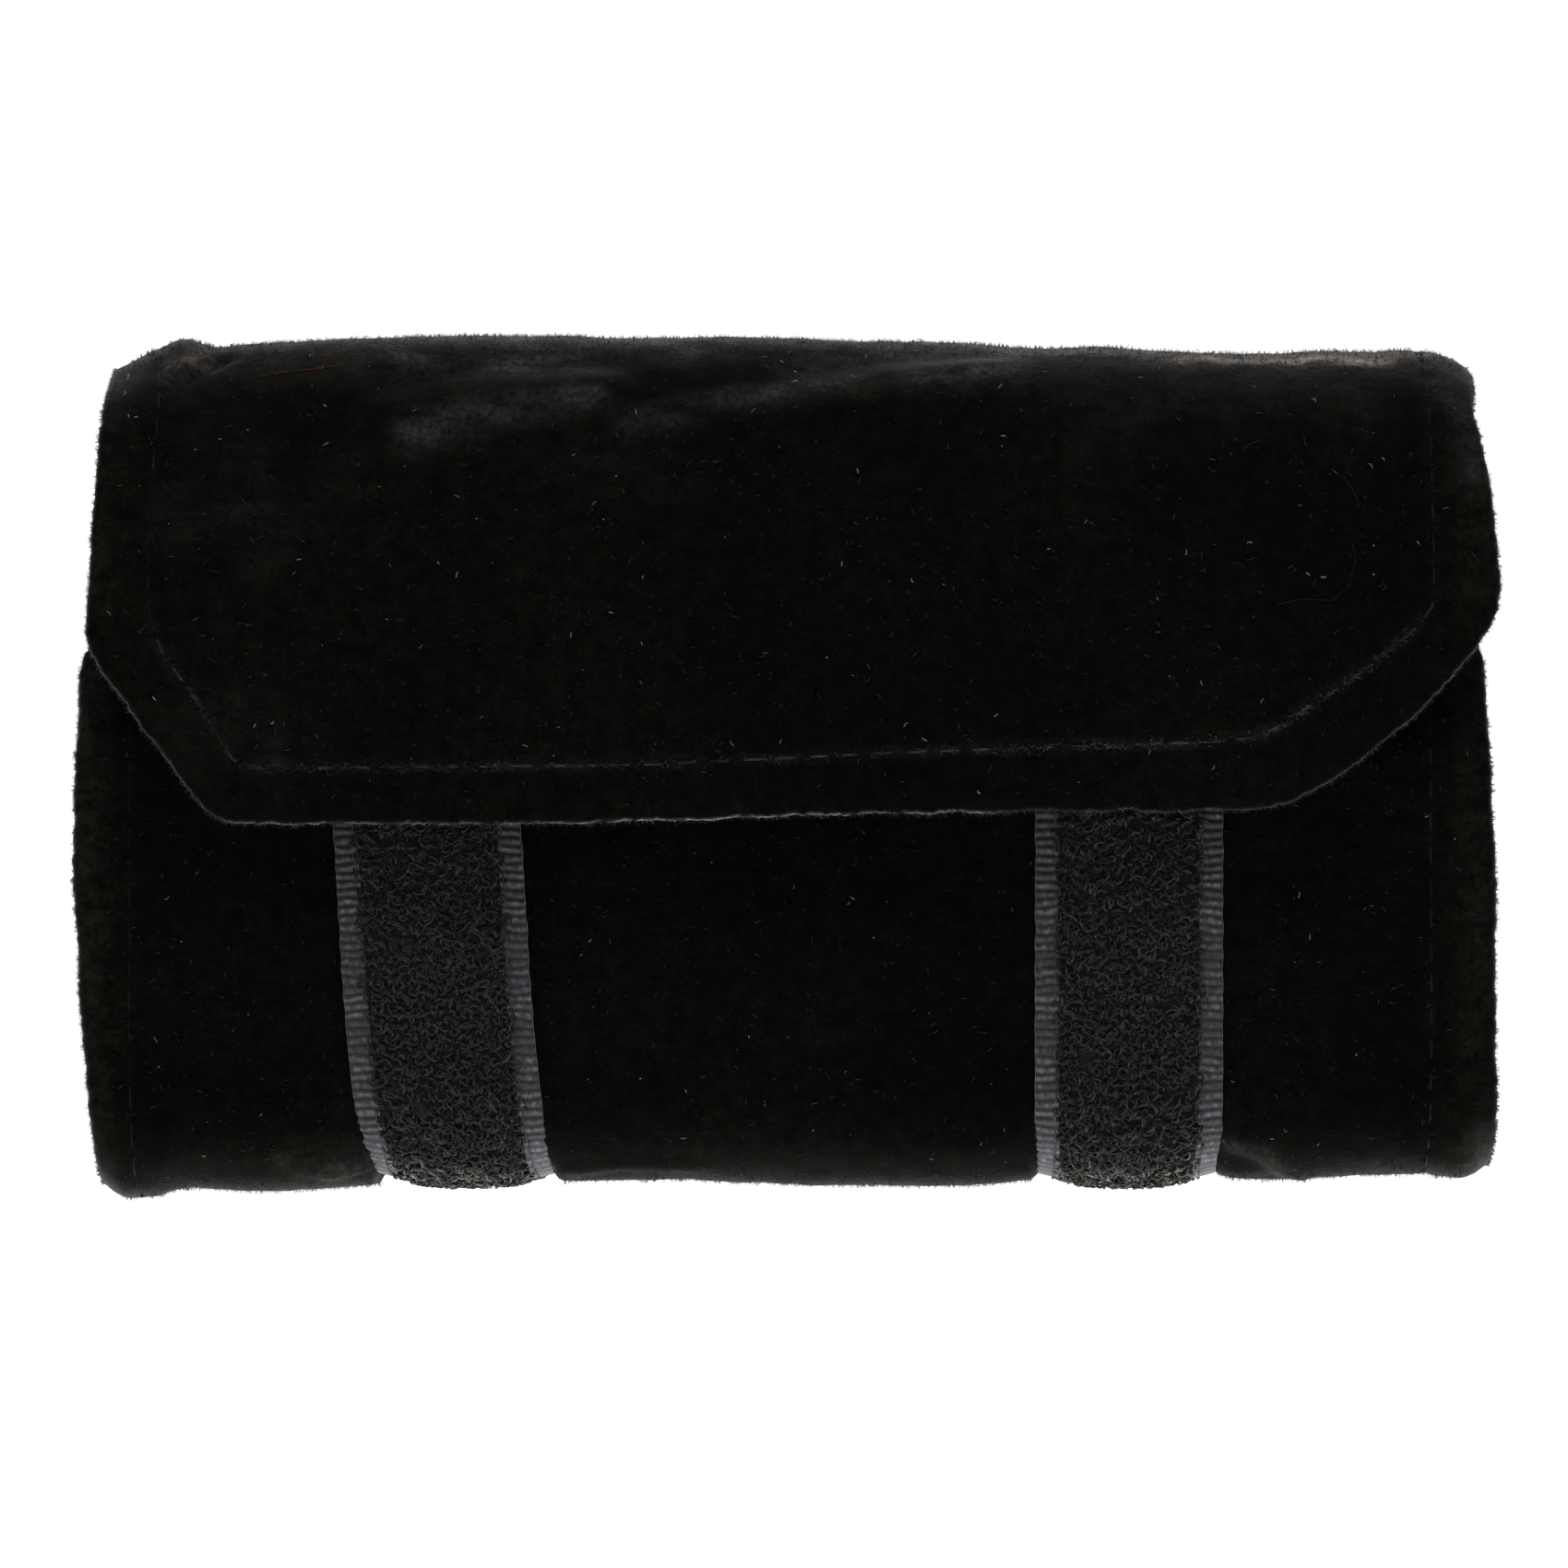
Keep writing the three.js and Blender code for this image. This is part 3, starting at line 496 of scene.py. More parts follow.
def new_piece(name, points, faces, material, uv=None, values=None):
    """A smooth mesh object from points in millimetres, with its flat places and named values per point."""
    mesh = bpy.data.meshes.new(name)
    mesh.from_pydata((np.reshape(points, (-1, 3)) * MM).tolist(), [], [list(map(int, f)) for f in faces])
    mesh.shade_smooth()
    mesh.materials.append(material)
    if uv is not None:
        corners = np.zeros(len(mesh.loops), np.int32)
        mesh.loops.foreach_get("vertex_index", corners)
        places = np.reshape(uv, (-1, 2))[corners] / FLAT_UNIT
        layer = mesh.uv_layers.new(name="flat")
        layer.uv.foreach_set("vector", places.astype(np.float32).ravel())
    for key, value in (values or {}).items():
        attribute = mesh.attributes.new(key, "FLOAT", "POINT")
        attribute.data.foreach_set("value", np.ravel(value).astype(np.float32))
    made = bpy.data.objects.new(name, mesh)
    bpy.context.scene.collection.objects.link(made)
    return made


def grid_faces(rows, columns, closed=False):
    """Quads of a grid of points, row by row, closed across the columns for a tube."""
    numbers = np.arange(rows * columns).reshape(rows, columns)
    if closed:
        numbers = np.column_stack([numbers, numbers[:, :1]])
    quads = np.stack([numbers[:-1, :-1], numbers[:-1, 1:], numbers[1:, 1:], numbers[1:, :-1]], axis=-1)
    return quads.reshape(-1, 4)


def tubes(paths, radii, sides):
    """Points and faces of thin tubes round many paths of equally many points."""
    paths = np.asarray(paths, float)
    count, steps, _ = paths.shape
    tangent = unit(np.gradient(paths, axis=1))
    chord = unit(paths[:, -1] - paths[:, 0])
    upright = abs(chord[:, 2:]) > UPRIGHT
    guide = np.where(upright, [0.6, 0.8, 0.0], [0.05, 0.1, 1.0])[:, None, :]
    across = unit(np.cross(tangent, np.broadcast_to(guide, tangent.shape)))
    up = np.cross(across, tangent)
    turn = FULL_TURN * np.arange(sides) / sides
    ring = np.cos(turn)[:, None] * across[:, :, None] + np.sin(turn)[:, None] * up[:, :, None]
    thick = np.broadcast_to(np.asarray(radii, float), (count, steps))
    points = paths[:, :, None] + thick[:, :, None, None] * ring
    faces = grid_faces(steps, sides, closed=True)[None] + (np.arange(count) * steps * sides)[:, None, None]
    return points.reshape(-1, 3), faces.reshape(-1, 4)


def joined(parts):
    """Several lots of points and faces as one."""
    points, faces, first = [], [], 0
    for some_points, some_faces in parts:
        points.append(np.reshape(some_points, (-1, 3)))
        faces += [tuple(int(n) + first for n in face) for face in some_faces]
        first += len(points[-1])
    return np.vstack(points), faces


def filled(border, pitch):
    """Even triangles inside a closed line: points, triangles, and where each point of the line went."""
    low, high = border.min(0), border.max(0)
    rows = []
    for number, run in enumerate(np.arange(low[1], high[1], pitch * ROW_SHARE)):
        across = np.arange(low[0] + pitch / 2 * (number % 2), high[0], pitch)
        rows.append(np.column_stack([across, np.full(len(across), run)]))
    inner = np.vstack(rows)
    inner = inner[is_inside(*inner.T, border)]
    inner = inner[distances(tree_of(border), *inner.T) > BORDER_ROOM * pitch]
    points = [Vector(p) for p in np.vstack([border, inner])]
    count = len(border)
    sides = [(k, (k + 1) % count) for k in range(count)]
    made, _, faces, origins, _, _ = delaunay_2d_cdt(points, sides, [], 1, 1e-6)
    went = np.zeros(len(points), int)
    for number, sources in enumerate(origins):
        went[sources] = number
    return np.array([tuple(p) for p in made]), faces, went[:count]


# Materials
class Look:
    """A procedural material being put together round one principled shader."""

    def __init__(self, name, roughness, specular=0.3, metallic=0.0, sheen=0.0, sheen_roughness=0.4, tint=0.5):
        self.material = bpy.data.materials.new(name)
        self.material.use_nodes = True
        self.tree = self.material.node_tree
        self.shader = self.tree.nodes["Principled BSDF"]
        values = {
            "Roughness": roughness,
            "Specular IOR Level": specular,
            "Metallic": metallic,
            "Sheen Weight": sheen,
            "Sheen Roughness": sheen_roughness,
            "Sheen Tint": (tint, tint, tint),
        }
        for key, value in values.items():
            self.feed(self.shader.inputs[key], value)

    def feed(self, socket, value):
        """Links a socket to another one, or sets it to a plain value."""
        if isinstance(value, bpy.types.NodeSocket):
            self.tree.links.new(value, socket)
        else:
            socket.default_value = (*value, 1) if socket.type == "RGBA" else value

    def node(self, kind, inputs=None, **settings):
        made = self.tree.nodes.new(kind)
        for key, value in settings.items():
            setattr(made, key, value)
        for key, value in (inputs or {}).items():
            self.feed(made.inputs[key], value)
        return made

    def places(self, flat=True, stretch=(1, 1, 1)):
        """Coordinates in millimetres, on the flat cloth or on the object."""
        if flat:
            source = self.node("ShaderNodeUVMap", uv_map="flat").outputs["UV"]
            scale = FLAT_UNIT
        else:
            source = self.node("ShaderNodeTexCoord").outputs["Object"]
            scale = 1 / MM
        inputs = {0: source, 1: tuple(scale * s for s in stretch)}
        return self.node("ShaderNodeVectorMath", inputs, operation="MULTIPLY").outputs[0]

    def noise(self, places, size, detail=3.0, roughness=0.55):
        inputs = {"Vector": places, "Scale": 1 / size, "Detail": detail, "Roughness": roughness}
        return self.node("ShaderNodeTexNoise", inputs).outputs["Fac"]

    def value(self, name):
        return self.node("ShaderNodeAttribute", attribute_name=name).outputs["Fac"]

    def maths(self, operation, first, second=0.0):
        return self.node("ShaderNodeMath", {0: first, 1: second}, operation=operation).outputs[0]

    def times(self, first, second):
        return self.maths("MULTIPLY", first, second)

    def spread(self, factor, low, high, start=0.0, end=1.0):
        inputs = {"Value": factor, "From Min": low, "From Max": high, "To Min": start, "To Max": end}
        return self.node("ShaderNodeMapRange", inputs).outputs["Result"]

    def ramp(self, factor, *stops):
        """A colour ramp, where a stop's colour may be one number for a grey."""
        made = self.node("ShaderNodeValToRGB", {"Fac": factor})
        while len(made.color_ramp.elements) < len(stops):
            made.color_ramp.elements.new(0.5)
        for element, (position, colour) in zip(made.color_ramp.elements, stops):
            element.position = position
            element.color = (*np.broadcast_to(colour, 3), 1)
        return made.outputs["Color"]

    def mix(self, factor, first, second, blend="MIX"):
        inputs = {0: factor, 6: first, 7: second}
        return self.node("ShaderNodeMix", inputs, data_type="RGBA", blend_type=blend).outputs[2]

    def tinted(self, first, second):
        return self.mix(1.0, first, second, "MULTIPLY")

    def colour(self, socket):
        self.feed(self.shader.inputs["Base Color"], socket)

    def roughness(self, socket):
        self.feed(self.shader.inputs["Roughness"], socket)

    def bump(self, height, strength, distance):
        inputs = {"Height": height, "Strength": strength, "Distance": distance * MM}
        self.feed(self.shader.inputs["Normal"], self.node("ShaderNodeBump", inputs).outputs["Normal"])


def velvet_look(name, flat):
    """Black pile: fine clumps, and on the strip pale strokes of brushed pile and painted sheen, hems painted
    warmer and paler as partly painted sheen, and pale worn edges with a painted highlight.
    """
    look = Look(name, 0.9, specular=0.03, sheen=0.5, sheen_roughness=0.24, tint=0.9)
    places = look.places(flat)
    patches = look.noise(look.places(flat, (1, 0.55, 1)), 34, detail=4.0)
    clumps = look.noise(places, 0.7, detail=4.0, roughness=0.7)
    base = look.ramp(patches, (0.38, (0.0018, 0.0021, 0.0013)), (0.7, (0.0034, 0.0037, 0.0026)))
    grain = look.ramp(clumps, (0.3, 0.25), (0.72, 2.1))
    mottles = look.noise(places, 2.6, detail=5.0, roughness=0.65)
    mottles = look.ramp(mottles, (0.36, (0.5, 0.42, 0.4)), (0.62, 1.35))
    if flat:
        # Hems painted warmer and paler: partly a warm tint, partly painted sheen on the rolled edges
        warm_sheen = look.times(look.value("hem_tint_and_sheen"), look.noise(places, 12))
        base = look.mix(warm_sheen, base, (0.0105, 0.0098, 0.0080))
    colour = look.tinted(look.tinted(base, grain), mottles)
    if flat:
        tufts = look.spread(look.noise(places, 0.8, detail=5.0, roughness=0.7), 0.34, 0.66, 0.2, 1.8)
        streaks = look.noise(look.places(True, (0.4, 1, 1)), 2.2, detail=4.0)
        streaks = look.spread(streaks, 0.34, 0.66, 0.4, 1.6)
        drifts = look.spread(look.noise(places, 8.0, detail=3.0), 0.3, 0.7, 0.12, 0.44)
        # Pale strokes: brushed pile, painted sheen over the folds and painted highlights along creases and
        # the top edge
        stroked = look.times(look.value("brushed_and_sheen"), look.times(look.times(tufts, streaks), drifts))
        colour = look.mix(stroked, colour, (0.24, 0.216, 0.202))
        # The worn flap edge, paled further by a painted highlight
        broken = look.spread(look.noise(places, 2.0, detail=5.0), 0.42, 0.58)
        colour = look.mix(look.times(look.value("wear_and_highlight"), broken), colour, (0.52, 0.51, 0.50))
    look.colour(colour)
    look.roughness(look.spread(clumps, 0.2, 0.8, 0.72, 0.95))
    look.bump(clumps, 0.5, 0.35)
    return look.material


def thread_look(name, dark, light, toned=False):
    """Twisted thread. A toned one shows pale only as far as each stitch's own tone."""
    look = Look(name, 0.6, specular=0.06 if toned else 0.25, sheen=0.02 if toned else 0.1)
    twist = look.noise(look.places(False), 1.6, detail=4.0)
    colour = look.ramp(twist, (0.3, dark), (0.7, light))
    if toned:
        colour = look.mix(look.value("tone"), dark, colour)
    look.colour(colour)
    look.bump(twist, 0.4, 0.08)
    return look.material


def pile_look():
    """Dull curled yarn, in the tone of each loop."""
    look = Look("loop_pile", 0.7, specular=0.12, sheen=0.42, sheen_roughness=0.24, tint=0.9)
    stops = [(0.0, (0.003, 0.003, 0.0027)), (0.5, (0.036, 0.035, 0.031)), (1.0, (0.50, 0.48, 0.46))]
    fine = look.noise(look.places(False), 0.5, detail=2.0)
    toned = look.ramp(look.value("tone"), *stops)
    look.colour(look.tinted(toned, look.ramp(fine, (0.3, 0.6), (0.7, 1.4))))
    look.roughness(look.spread(fine, 0.3, 0.7, 0.6, 0.8))
    return look.material


def ground_look():
    """The shaded weave that the loops grow from."""
    look = Look("loop_ground", 0.9, specular=0.1)
    knots = look.noise(look.places(True), 0.6, detail=3.0)
    look.colour(look.ramp(knots, (0.35, (0.030, 0.0286, 0.0252)), (0.7, (0.054, 0.0516, 0.0452))))
    look.bump(knots, 0.5, 0.1)
    return look.material


def ribbed_look():
    """Ribbed selvedge, in the tone of each rib."""
    look = Look("tape_weave", 0.6, specular=0.25, sheen=1.0, sheen_roughness=0.3, tint=0.95)
    stops = [(0.0, (0.007, 0.007, 0.008)), (0.5, (0.064, 0.061, 0.070)), (1.0, (0.42, 0.41, 0.43))]
    threads = look.noise(look.places(True, (2.2, 1.4, 1)), 1.0, detail=3.0)
    toned = look.ramp(look.value("tone"), *stops)
    look.colour(look.tinted(toned, look.ramp(threads, (0.3, 0.5), (0.7, 1.5))))
    look.roughness(look.spread(threads, 0.3, 0.7, 0.5, 0.7))
    look.bump(threads, 0.3, 0.06)
    return look.material


def woven_look(name, dark, light, roughness, size, flat=True):
    """Cloth with crossing threads of a given size, slubs and a soft gloss."""
    look = Look(name, roughness, specular=0.4, sheen=0.15, sheen_roughness=0.35, tint=0.9)
    parts = look.node("ShaderNodeSeparateXYZ", {0: look.places(flat)}).outputs
    warp = look.maths("SINE", look.times(look.maths("ADD", parts[0], parts[1]), FULL_TURN / size))
    weft = look.maths("SINE", look.times(parts[1], 2 * FULL_TURN / size))
    slubs = look.noise(look.places(flat, (0.25, 3, 1)), 2.0, detail=4.0)
    weave = look.spread(look.maths("ADD", warp, weft), -2, 2)
    blend = look.maths("ADD", look.times(weave, 0.45), look.times(slubs, 0.55))
    look.colour(look.ramp(blend, (0.3, dark), (0.7, light)))
    look.roughness(look.spread(slubs, 0.3, 0.7, roughness - 0.07, roughness + 0.08))
    look.bump(weave, 0.35, 0.05)
    return look.material


def metal_look():
    look = Look("satin_nickel", 0.3, specular=0.5, metallic=1.0)
    scratches = look.noise(look.places(False, (1, 9, 1)), 1.2, detail=5.0)
    stains = look.noise(look.places(False), 3.0)
    look.colour(look.ramp(stains, (0.3, (0.54, 0.54, 0.535)), (0.7, (0.62, 0.62, 0.61))))
    look.roughness(look.spread(scratches, 0.3, 0.7, 0.28, 0.38))
    look.bump(scratches, 0.06, 0.02)
    return look.material


def lint_look(name, dark, light):
    """Loose fibre in its own tone, most of it dark."""
    look = Look(name, 0.7, specular=0.15, sheen=0.1)
    middle = tuple(a + 0.12 * (b - a) for a, b in zip(dark, light))
    look.colour(look.ramp(look.value("tone"), (0.0, dark), (0.7, middle), (1.0, light)))
    return look.material


velvet = velvet_look("black_velvet", True)
bar_velvet = velvet_look("bar_velvet", False)
satin = woven_look("lining_satin", (0.010, 0.010, 0.011), (0.026, 0.025, 0.029), 0.4, 0.55)
pocket_satin = woven_look("pocket_satin", (0.012, 0.012, 0.013), (0.030, 0.029, 0.033), 0.38, 0.55, False)
zip_weave = woven_look("zip_weave", (0.007, 0.007, 0.008), (0.022, 0.022, 0.024), 0.6, 0.7, False)
hook_weave = woven_look("hook_weave", (0.012, 0.012, 0.013), (0.034, 0.034, 0.038), 0.5, 0.6, False)
topstitch = thread_look("topstitch_thread", (0.004, 0.004, 0.0035), (0.150, 0.146, 0.138), toned=True)
lining_thread = thread_look("lining_thread", (0.008, 0.008, 0.008), (0.030, 0.030, 0.030))
tape_thread = thread_look("tape_thread", (0.030, 0.030, 0.034), (0.075, 0.075, 0.082))
nylon = thread_look("nylon_coil", (0.014, 0.014, 0.015), (0.034, 0.034, 0.036))
lint = lint_look("lint", (0.006, 0.006, 0.005), (0.36, 0.36, 0.35))
red_lint = lint_look("red_lint", (0.006, 0.002, 0.002), (0.11, 0.012, 0.016))
pile_fuzz = lint_look("pile_fuzz", (0.006, 0.0055, 0.005), (0.16, 0.145, 0.135))
pile = pile_look()
pile_ground = ground_look()
ribbed = ribbed_look()
metal = metal_look()

# Cloth pressed out by its padding, settled on the flat strip with the seams and tapes held down
SETTLE_PITCH = 3.0
SETTLE_SCALE = 0.01
SETTLE_STEPS = 20
CLOTH_SETTINGS = {
    "mass": 0.3,
    "tension_stiffness": 20,
    "compression_stiffness": 20,
    "shear_stiffness": 8,
    "bending_stiffness": 2,
    "use_pressure": True,
    "uniform_pressure_force": 0.5,
    "shrink_min": -0.02,
}
HELD_AT_SEAM = 0.6
HELD_AT_TAPE = 0.8
HELD_BEFORE_TAPE = 6.0
PUFF_FULL = 4.0
PUFF_X = np.arange(-96, 96.1, SETTLE_PITCH)
PUFF_RUN = np.arange(0, 294.1, SETTLE_PITCH)
FINE = 3
FINE_WEIGHTS = np.array([1, 2, 3, 2, 1]) / 9


def settled(points, faces, held):
    """Where cloth given as points in millimetres comes to rest, pressed out, with some points held."""
    scene = bpy.context.scene
    mesh = bpy.data.meshes.new("settling")
    mesh.from_pydata((points * SETTLE_SCALE).tolist(), [], faces.tolist())
    cloth = bpy.data.objects.new("settling", mesh)
    scene.collection.objects.link(cloth)
    cloth.vertex_groups.new(name="held").add(np.flatnonzero(held).tolist(), 1.0, "REPLACE")
    modifier = cloth.modifiers.new("settling", "CLOTH")
    modifier.collision_settings.use_collision = False
    modifier.settings.vertex_group_mass = "held"
    for key, value in CLOTH_SETTINGS.items():
        setattr(modifier.settings, key, value)
    modifier.settings.effector_weights.gravity = 0
    for step in range(1, SETTLE_STEPS + 1):
        scene.frame_set(step)
    evaluated = cloth.evaluated_get(bpy.context.evaluated_depsgraph_get())
    places = np.zeros(len(points) * 3, np.float32)
    evaluated.data.vertices.foreach_get("co", places)
    scene.frame_set(1)
    bpy.data.objects.remove(cloth)
    bpy.data.meshes.remove(mesh)
    return places.reshape(-1, 3) / SETTLE_SCALE


def puff_field():
    """How full the padding stands, from 0 at a seam to 1, on a fine grid over the flat strip."""
    x, run = np.meshgrid(PUFF_X, PUFF_RUN)
    held = seam_distance(x, run) < HELD_AT_SEAM
    for side in TAPE_CENTRE:
        taped = abs(x - tape_centre(side, run)) < TAPE_HALF + HELD_AT_TAPE
        held |= taped & (run > TAPE_RUN[0] - HELD_BEFORE_TAPE) & (run < TAPE_RUN[1])
    points = placed(x, run, 0.0).reshape(-1, 3)
    rise = settled(points, grid_faces(*x.shape), held.ravel())[:, 2].reshape(x.shape)
    field = np.tanh(rise / PUFF_FULL)
    for _ in range(2):
        places = np.arange(0, len(field) - 1 + 1e-6, 1 / FINE)
        rows = [np.interp(places, np.arange(len(field)), column) for column in field.T]
        rows = [np.pad(row, 2, mode="edge") for row in rows]
        field = np.array([np.convolve(row, FINE_WEIGHTS, mode="valid") for row in rows])
    return field


puff = puff_field()


def puffed(x, run, plain):
    """The settled fullness at places on the strip, or the plain one where the settling is skipped."""
    if puff is None:
        return plain
    column = np.clip((x - PUFF_X[0]) * FINE / SETTLE_PITCH, 0, puff.shape[1] - 1.001)
    row = np.clip((run - PUFF_RUN[0]) * FINE / SETTLE_PITCH, 0, puff.shape[0] - 1.001)
    left_of, below = column.astype(int), row.astype(int)
    across, along = column - left_of, row - below
    lower = puff[below, left_of] * (1 - across) + puff[below, left_of + 1] * across
    upper = puff[below + 1, left_of] * (1 - across) + puff[below + 1, left_of + 1] * across
    return lower * (1 - along) + upper * along


# The strip's four pieces: name, two bodies, start and end of the bend as (y, z), ways out there, thickness
PIECES = [
    ("flap", ("top_spine", "flap"), ((54.35, 22.85), (41.2, 36.0)), (FAR, UP), 4.0),
    ("upper_back", ("back", "top_spine"), ((43.2, 0.0), (53.8, 10.6)), (-UP, FAR), 4.4),
    ("lower_back", ("back", "bottom_spine"), ((-43.5, 0.0), (-52.65, 9.15)), (-UP, -FAR), 4.8),
    ("front", ("bottom_spine", "front"), ((-52.7, 18.5), (-42.5, 28.7)), (-FAR, UP), 4.8),
]
PANEL_NODES = {
    "flap": ["flap_{}", "top_spine_{}"],
    "upper_back": ["back_{}"],
    "lower_back": ["bottom_spine_{}"],
    "front": ["front_{}"],
}
SEAM_POINTS = 152


def bends(piece):
    """Bakes a piece's placement into its points."""
    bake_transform(piece)


def chain(first, last):
    """Numbers of the outline's points from one to another, in the outline's order."""
    if last < first:
        last += len(edge)
    return np.arange(first, last + 1) % len(edge)


left = [edge_crossings["left", k] for k in range(len(SEAMS))]
right = [edge_crossings["right", k] for k in range(len(SEAMS))]
PIECE_CHAINS = [
    [("rim", chain(left[0], right[0])), ("seam", 0, -1)],
    [("rim", chain(right[0], right[1])), ("seam", 1, -1), ("rim", chain(left[1], left[0])), ("seam", 0, 1)],
    [("rim", chain(right[1], right[2])), ("seam", 2, -1), ("rim", chain(left[2], left[1])), ("seam", 1, 1)],
    [("rim", chain(right[2], left[2])), ("seam", 2, 1)],
]


def border_of(number, line):
    """The closed border of a piece on the flat strip, along a line that follows the outline."""
    parts, chains, count = [], [], 0
    for kind, *rest in PIECE_CHAINS[number]:
        if kind == "rim":
            points = line[rest[0]]
            chains.append((rest[0], np.arange(count, count + len(points))))
        else:
            seam, direction = rest
            points = np.linspace(line[left[seam]], line[right[seam]], SEAM_POINTS)[1:-1][::direction]
        parts.append(points)
        count += len(points)
    return np.vstack(parts), chains


# Velvet covers
RIM_STEPS = 7
RIM_REACH = 0.8
LIP = (1.4, 3.0)
VELVET_PITCH = 1.15
HEM_FADE = 7.0
# Where on the rolled rim the wear and its painted highlight lie, and how wide
WORN_AND_LIT_TURN = (0.42, 0.1)
RIM_TURNS = [(math.pi * k / RIM_STEPS, 0.0) for k in range(1, RIM_STEPS + 1)]
RIM_TURNS += [(math.pi, lip) for lip in LIP]


def edge_wear_and_highlight(x, run, share):
    """Pale wear on the flap's lower edge, partly a painted highlight on the part of the rolled rim that faces
    out sideways, strongest along its middle, and a little on its cut corners.
    """
    strong = plateau(x, -27.5, -25.5, 0, 14) + 0.6 * plateau(x, -4, 8, 26, 29)
    thin = 0.1 + 0.36 * plateau(x, -76, -70, -28, -24)
    middle, width = WORN_AND_LIT_TURN
    return rising(run, 27, 24) * np.clip(strong + thin, 0, 1) * bell(share - middle, width)


def hem_tint_and_sheen(x, run):
    """Hems painted a little warmer and paler, partly a warm tint and partly painted sheen on the rolled
    edges, most on the front's left side and not at the flap's foot.
    """
    return (0.05 + 0.95 * rising(run, 24, 34)) * (1 + 0.6 * rising(x, 0, -20) * rising(run, 205, 215))


def make_velvet(number):
    """A velvet cover: the filled face of one piece, with its rim rolled under along the outline."""
    name = PIECES[number][0]
    line = edge - outward * RIM_REACH
    border, chains = border_of(number, line)
    flat, faces, went = filled(border, VELVET_PITCH)
    heights = velvet_height(*flat.T)
    lots = [(flat, heights, flat, np.zeros(len(flat)))]
    faces = [tuple(face) for face in faces]
    count = len(flat)
    for numbers, places in chains:
        base, out = line[numbers], outward[numbers]
        previous = went[places]
        top = heights[previous]
        curl = np.interp(edge[numbers, 1], THIN_TO_THICK, RIM_RADIUS)
        for turn, lip in RIM_TURNS:
            spots = base + out * (RIM_REACH * math.sin(turn) - lip)
            height = top - curl * (1 - math.cos(turn))
            cloth = base + out * (curl * turn + lip)[:, None]
            lots.append((spots, height, cloth, np.full(len(spots), turn / math.pi)))
            ring = count + np.arange(len(spots))
            faces += list(zip(previous[:-1], ring[:-1], ring[1:], previous[1:]))
            previous = ring
            count += len(spots)
    spots, heights, uv, share = (np.concatenate(column) for column in zip(*lots))
    x, run = spots.T
    rolled = share > 0
    # Painted into the velvet's colour: a hem tint with painted sheen, edge wear with a painted highlight, and
    # brushed pile with painted sheen
    values = {
        "hem_tint_and_sheen": hem_tint_and_sheen(x, run) * np.where(rolled, 1, rising(seam_distance(x, run), 0, -HEM_FADE)),
        "wear_and_highlight": edge_wear_and_highlight(x, run, share) * rolled,
        "brushed_and_sheen": brushed_and_sheen_share(x, run),
    }
    piece = new_piece(f"{name}_velvet_cover", folded(x, run, heights), faces, velvet, uv, values)
    bends(piece)
    for node in PANEL_NODES[name]:
        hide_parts(node.format("velvet"), node.format("padding"))


# Linings
LINING_INSET = 2.6
LINING_PITCH = 1.5
LINING_SINK = 0.55
LINING_HEM = 0.3
LINING_EDGE = 0.5
LINING_FLAT = (96, 106, 188, 198)
RIPPLE_PITCH = 4.2
RIPPLE_FADE = 5


def lining_height(x, run):
    """Height of the lining's inner face: sunk at the topstitch, soft where loose, rippled in the folds."""
    inside = seam_distance(x, run)
    height = -np.interp(run, THIN_TO_THICK, THICKNESS)
    height += LINING_SINK * (1 - puffed(x, run, 1 - bell(inside, 1.3)))
    height += np.where(inside < 0, LINING_HEM, 0)
    loose = rising(inside, 0, 10) * (1 - plateau(run, *LINING_FLAT))
    pulled = 0.6 * waves(x, run * 0.5, 30, 14) + 0.24 * waves(x * 0.6, run, 15, 15)
    height += 0.4 * loose * (pulled + 0.04 * waves(x, run, 6, 16) + 0.4)
    for first, last in FOLD_RUNS:
        share = plateau(run, first, first + RIPPLE_FADE, last - RIPPLE_FADE, last)
        ripple = np.sin(FULL_TURN * (run - first) / RIPPLE_PITCH + 1.1 * waves(x, run, 40, 8))
        height += share * (0.28 * ripple + 0.2 * waves(x, run, 18, 9))
    return height


def make_lining(number):
    """A lining: the inner face of one piece, a little inside its outline."""
    name, *_, thickness = PIECES[number]
    border, chains = border_of(number, edge - outward * LINING_INSET)
    flat, faces, went = filled(border, LINING_PITCH)
    heights = lining_height(*flat.T)
    for _, places in chains:
        heights[went[places]] += LINING_EDGE
    points = folded(*flat.T, heights)
    faces = [tuple(reversed(face)) for face in faces]
    piece = new_piece(f"{name}_lining_sheet", points, faces, satin, flat)
    bends(piece)
    for node in PANEL_NODES[name]:
        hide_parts(node.format("lining"))


for number in range(len(PIECES)):
    make_velvet(number)
    make_lining(number)


# Thread and fibres on the strip
def flat_tubes(paths, radii, sides=3):
    """Tubes round paths given on the flat strip."""
    return tubes(folded(*np.moveaxis(paths, -1, 0)), radii, sides)


def along_strip(name, paths, radii, sides, material, tone=None):
    """Thread or fibre on the strip, split into one piece for each panel that it lies on."""
    owner = np.searchsorted(SEAMS, paths[:, :, 1].mean(axis=1))
    radii = np.broadcast_to(radii, paths.shape[:2])
    for number, (panel, *_) in enumerate(PIECES):
        mine = owner == number
        if not mine.any():
            continue
        points, faces = flat_tubes(paths[mine], radii[mine], sides)
        own = {} if tone is None else {"tone": np.repeat(tone[mine], paths.shape[1] * sides)}
        piece = new_piece(f"{panel}_{name}", points, faces, material, values=own)
        bends(piece)


def curled(turn, length):
    """Steps across and along the strip of fibres that turn as they go."""
    return (np.cumsum(way(turn), axis=1) * length / turn.shape[1] for way in (np.cos, np.sin))


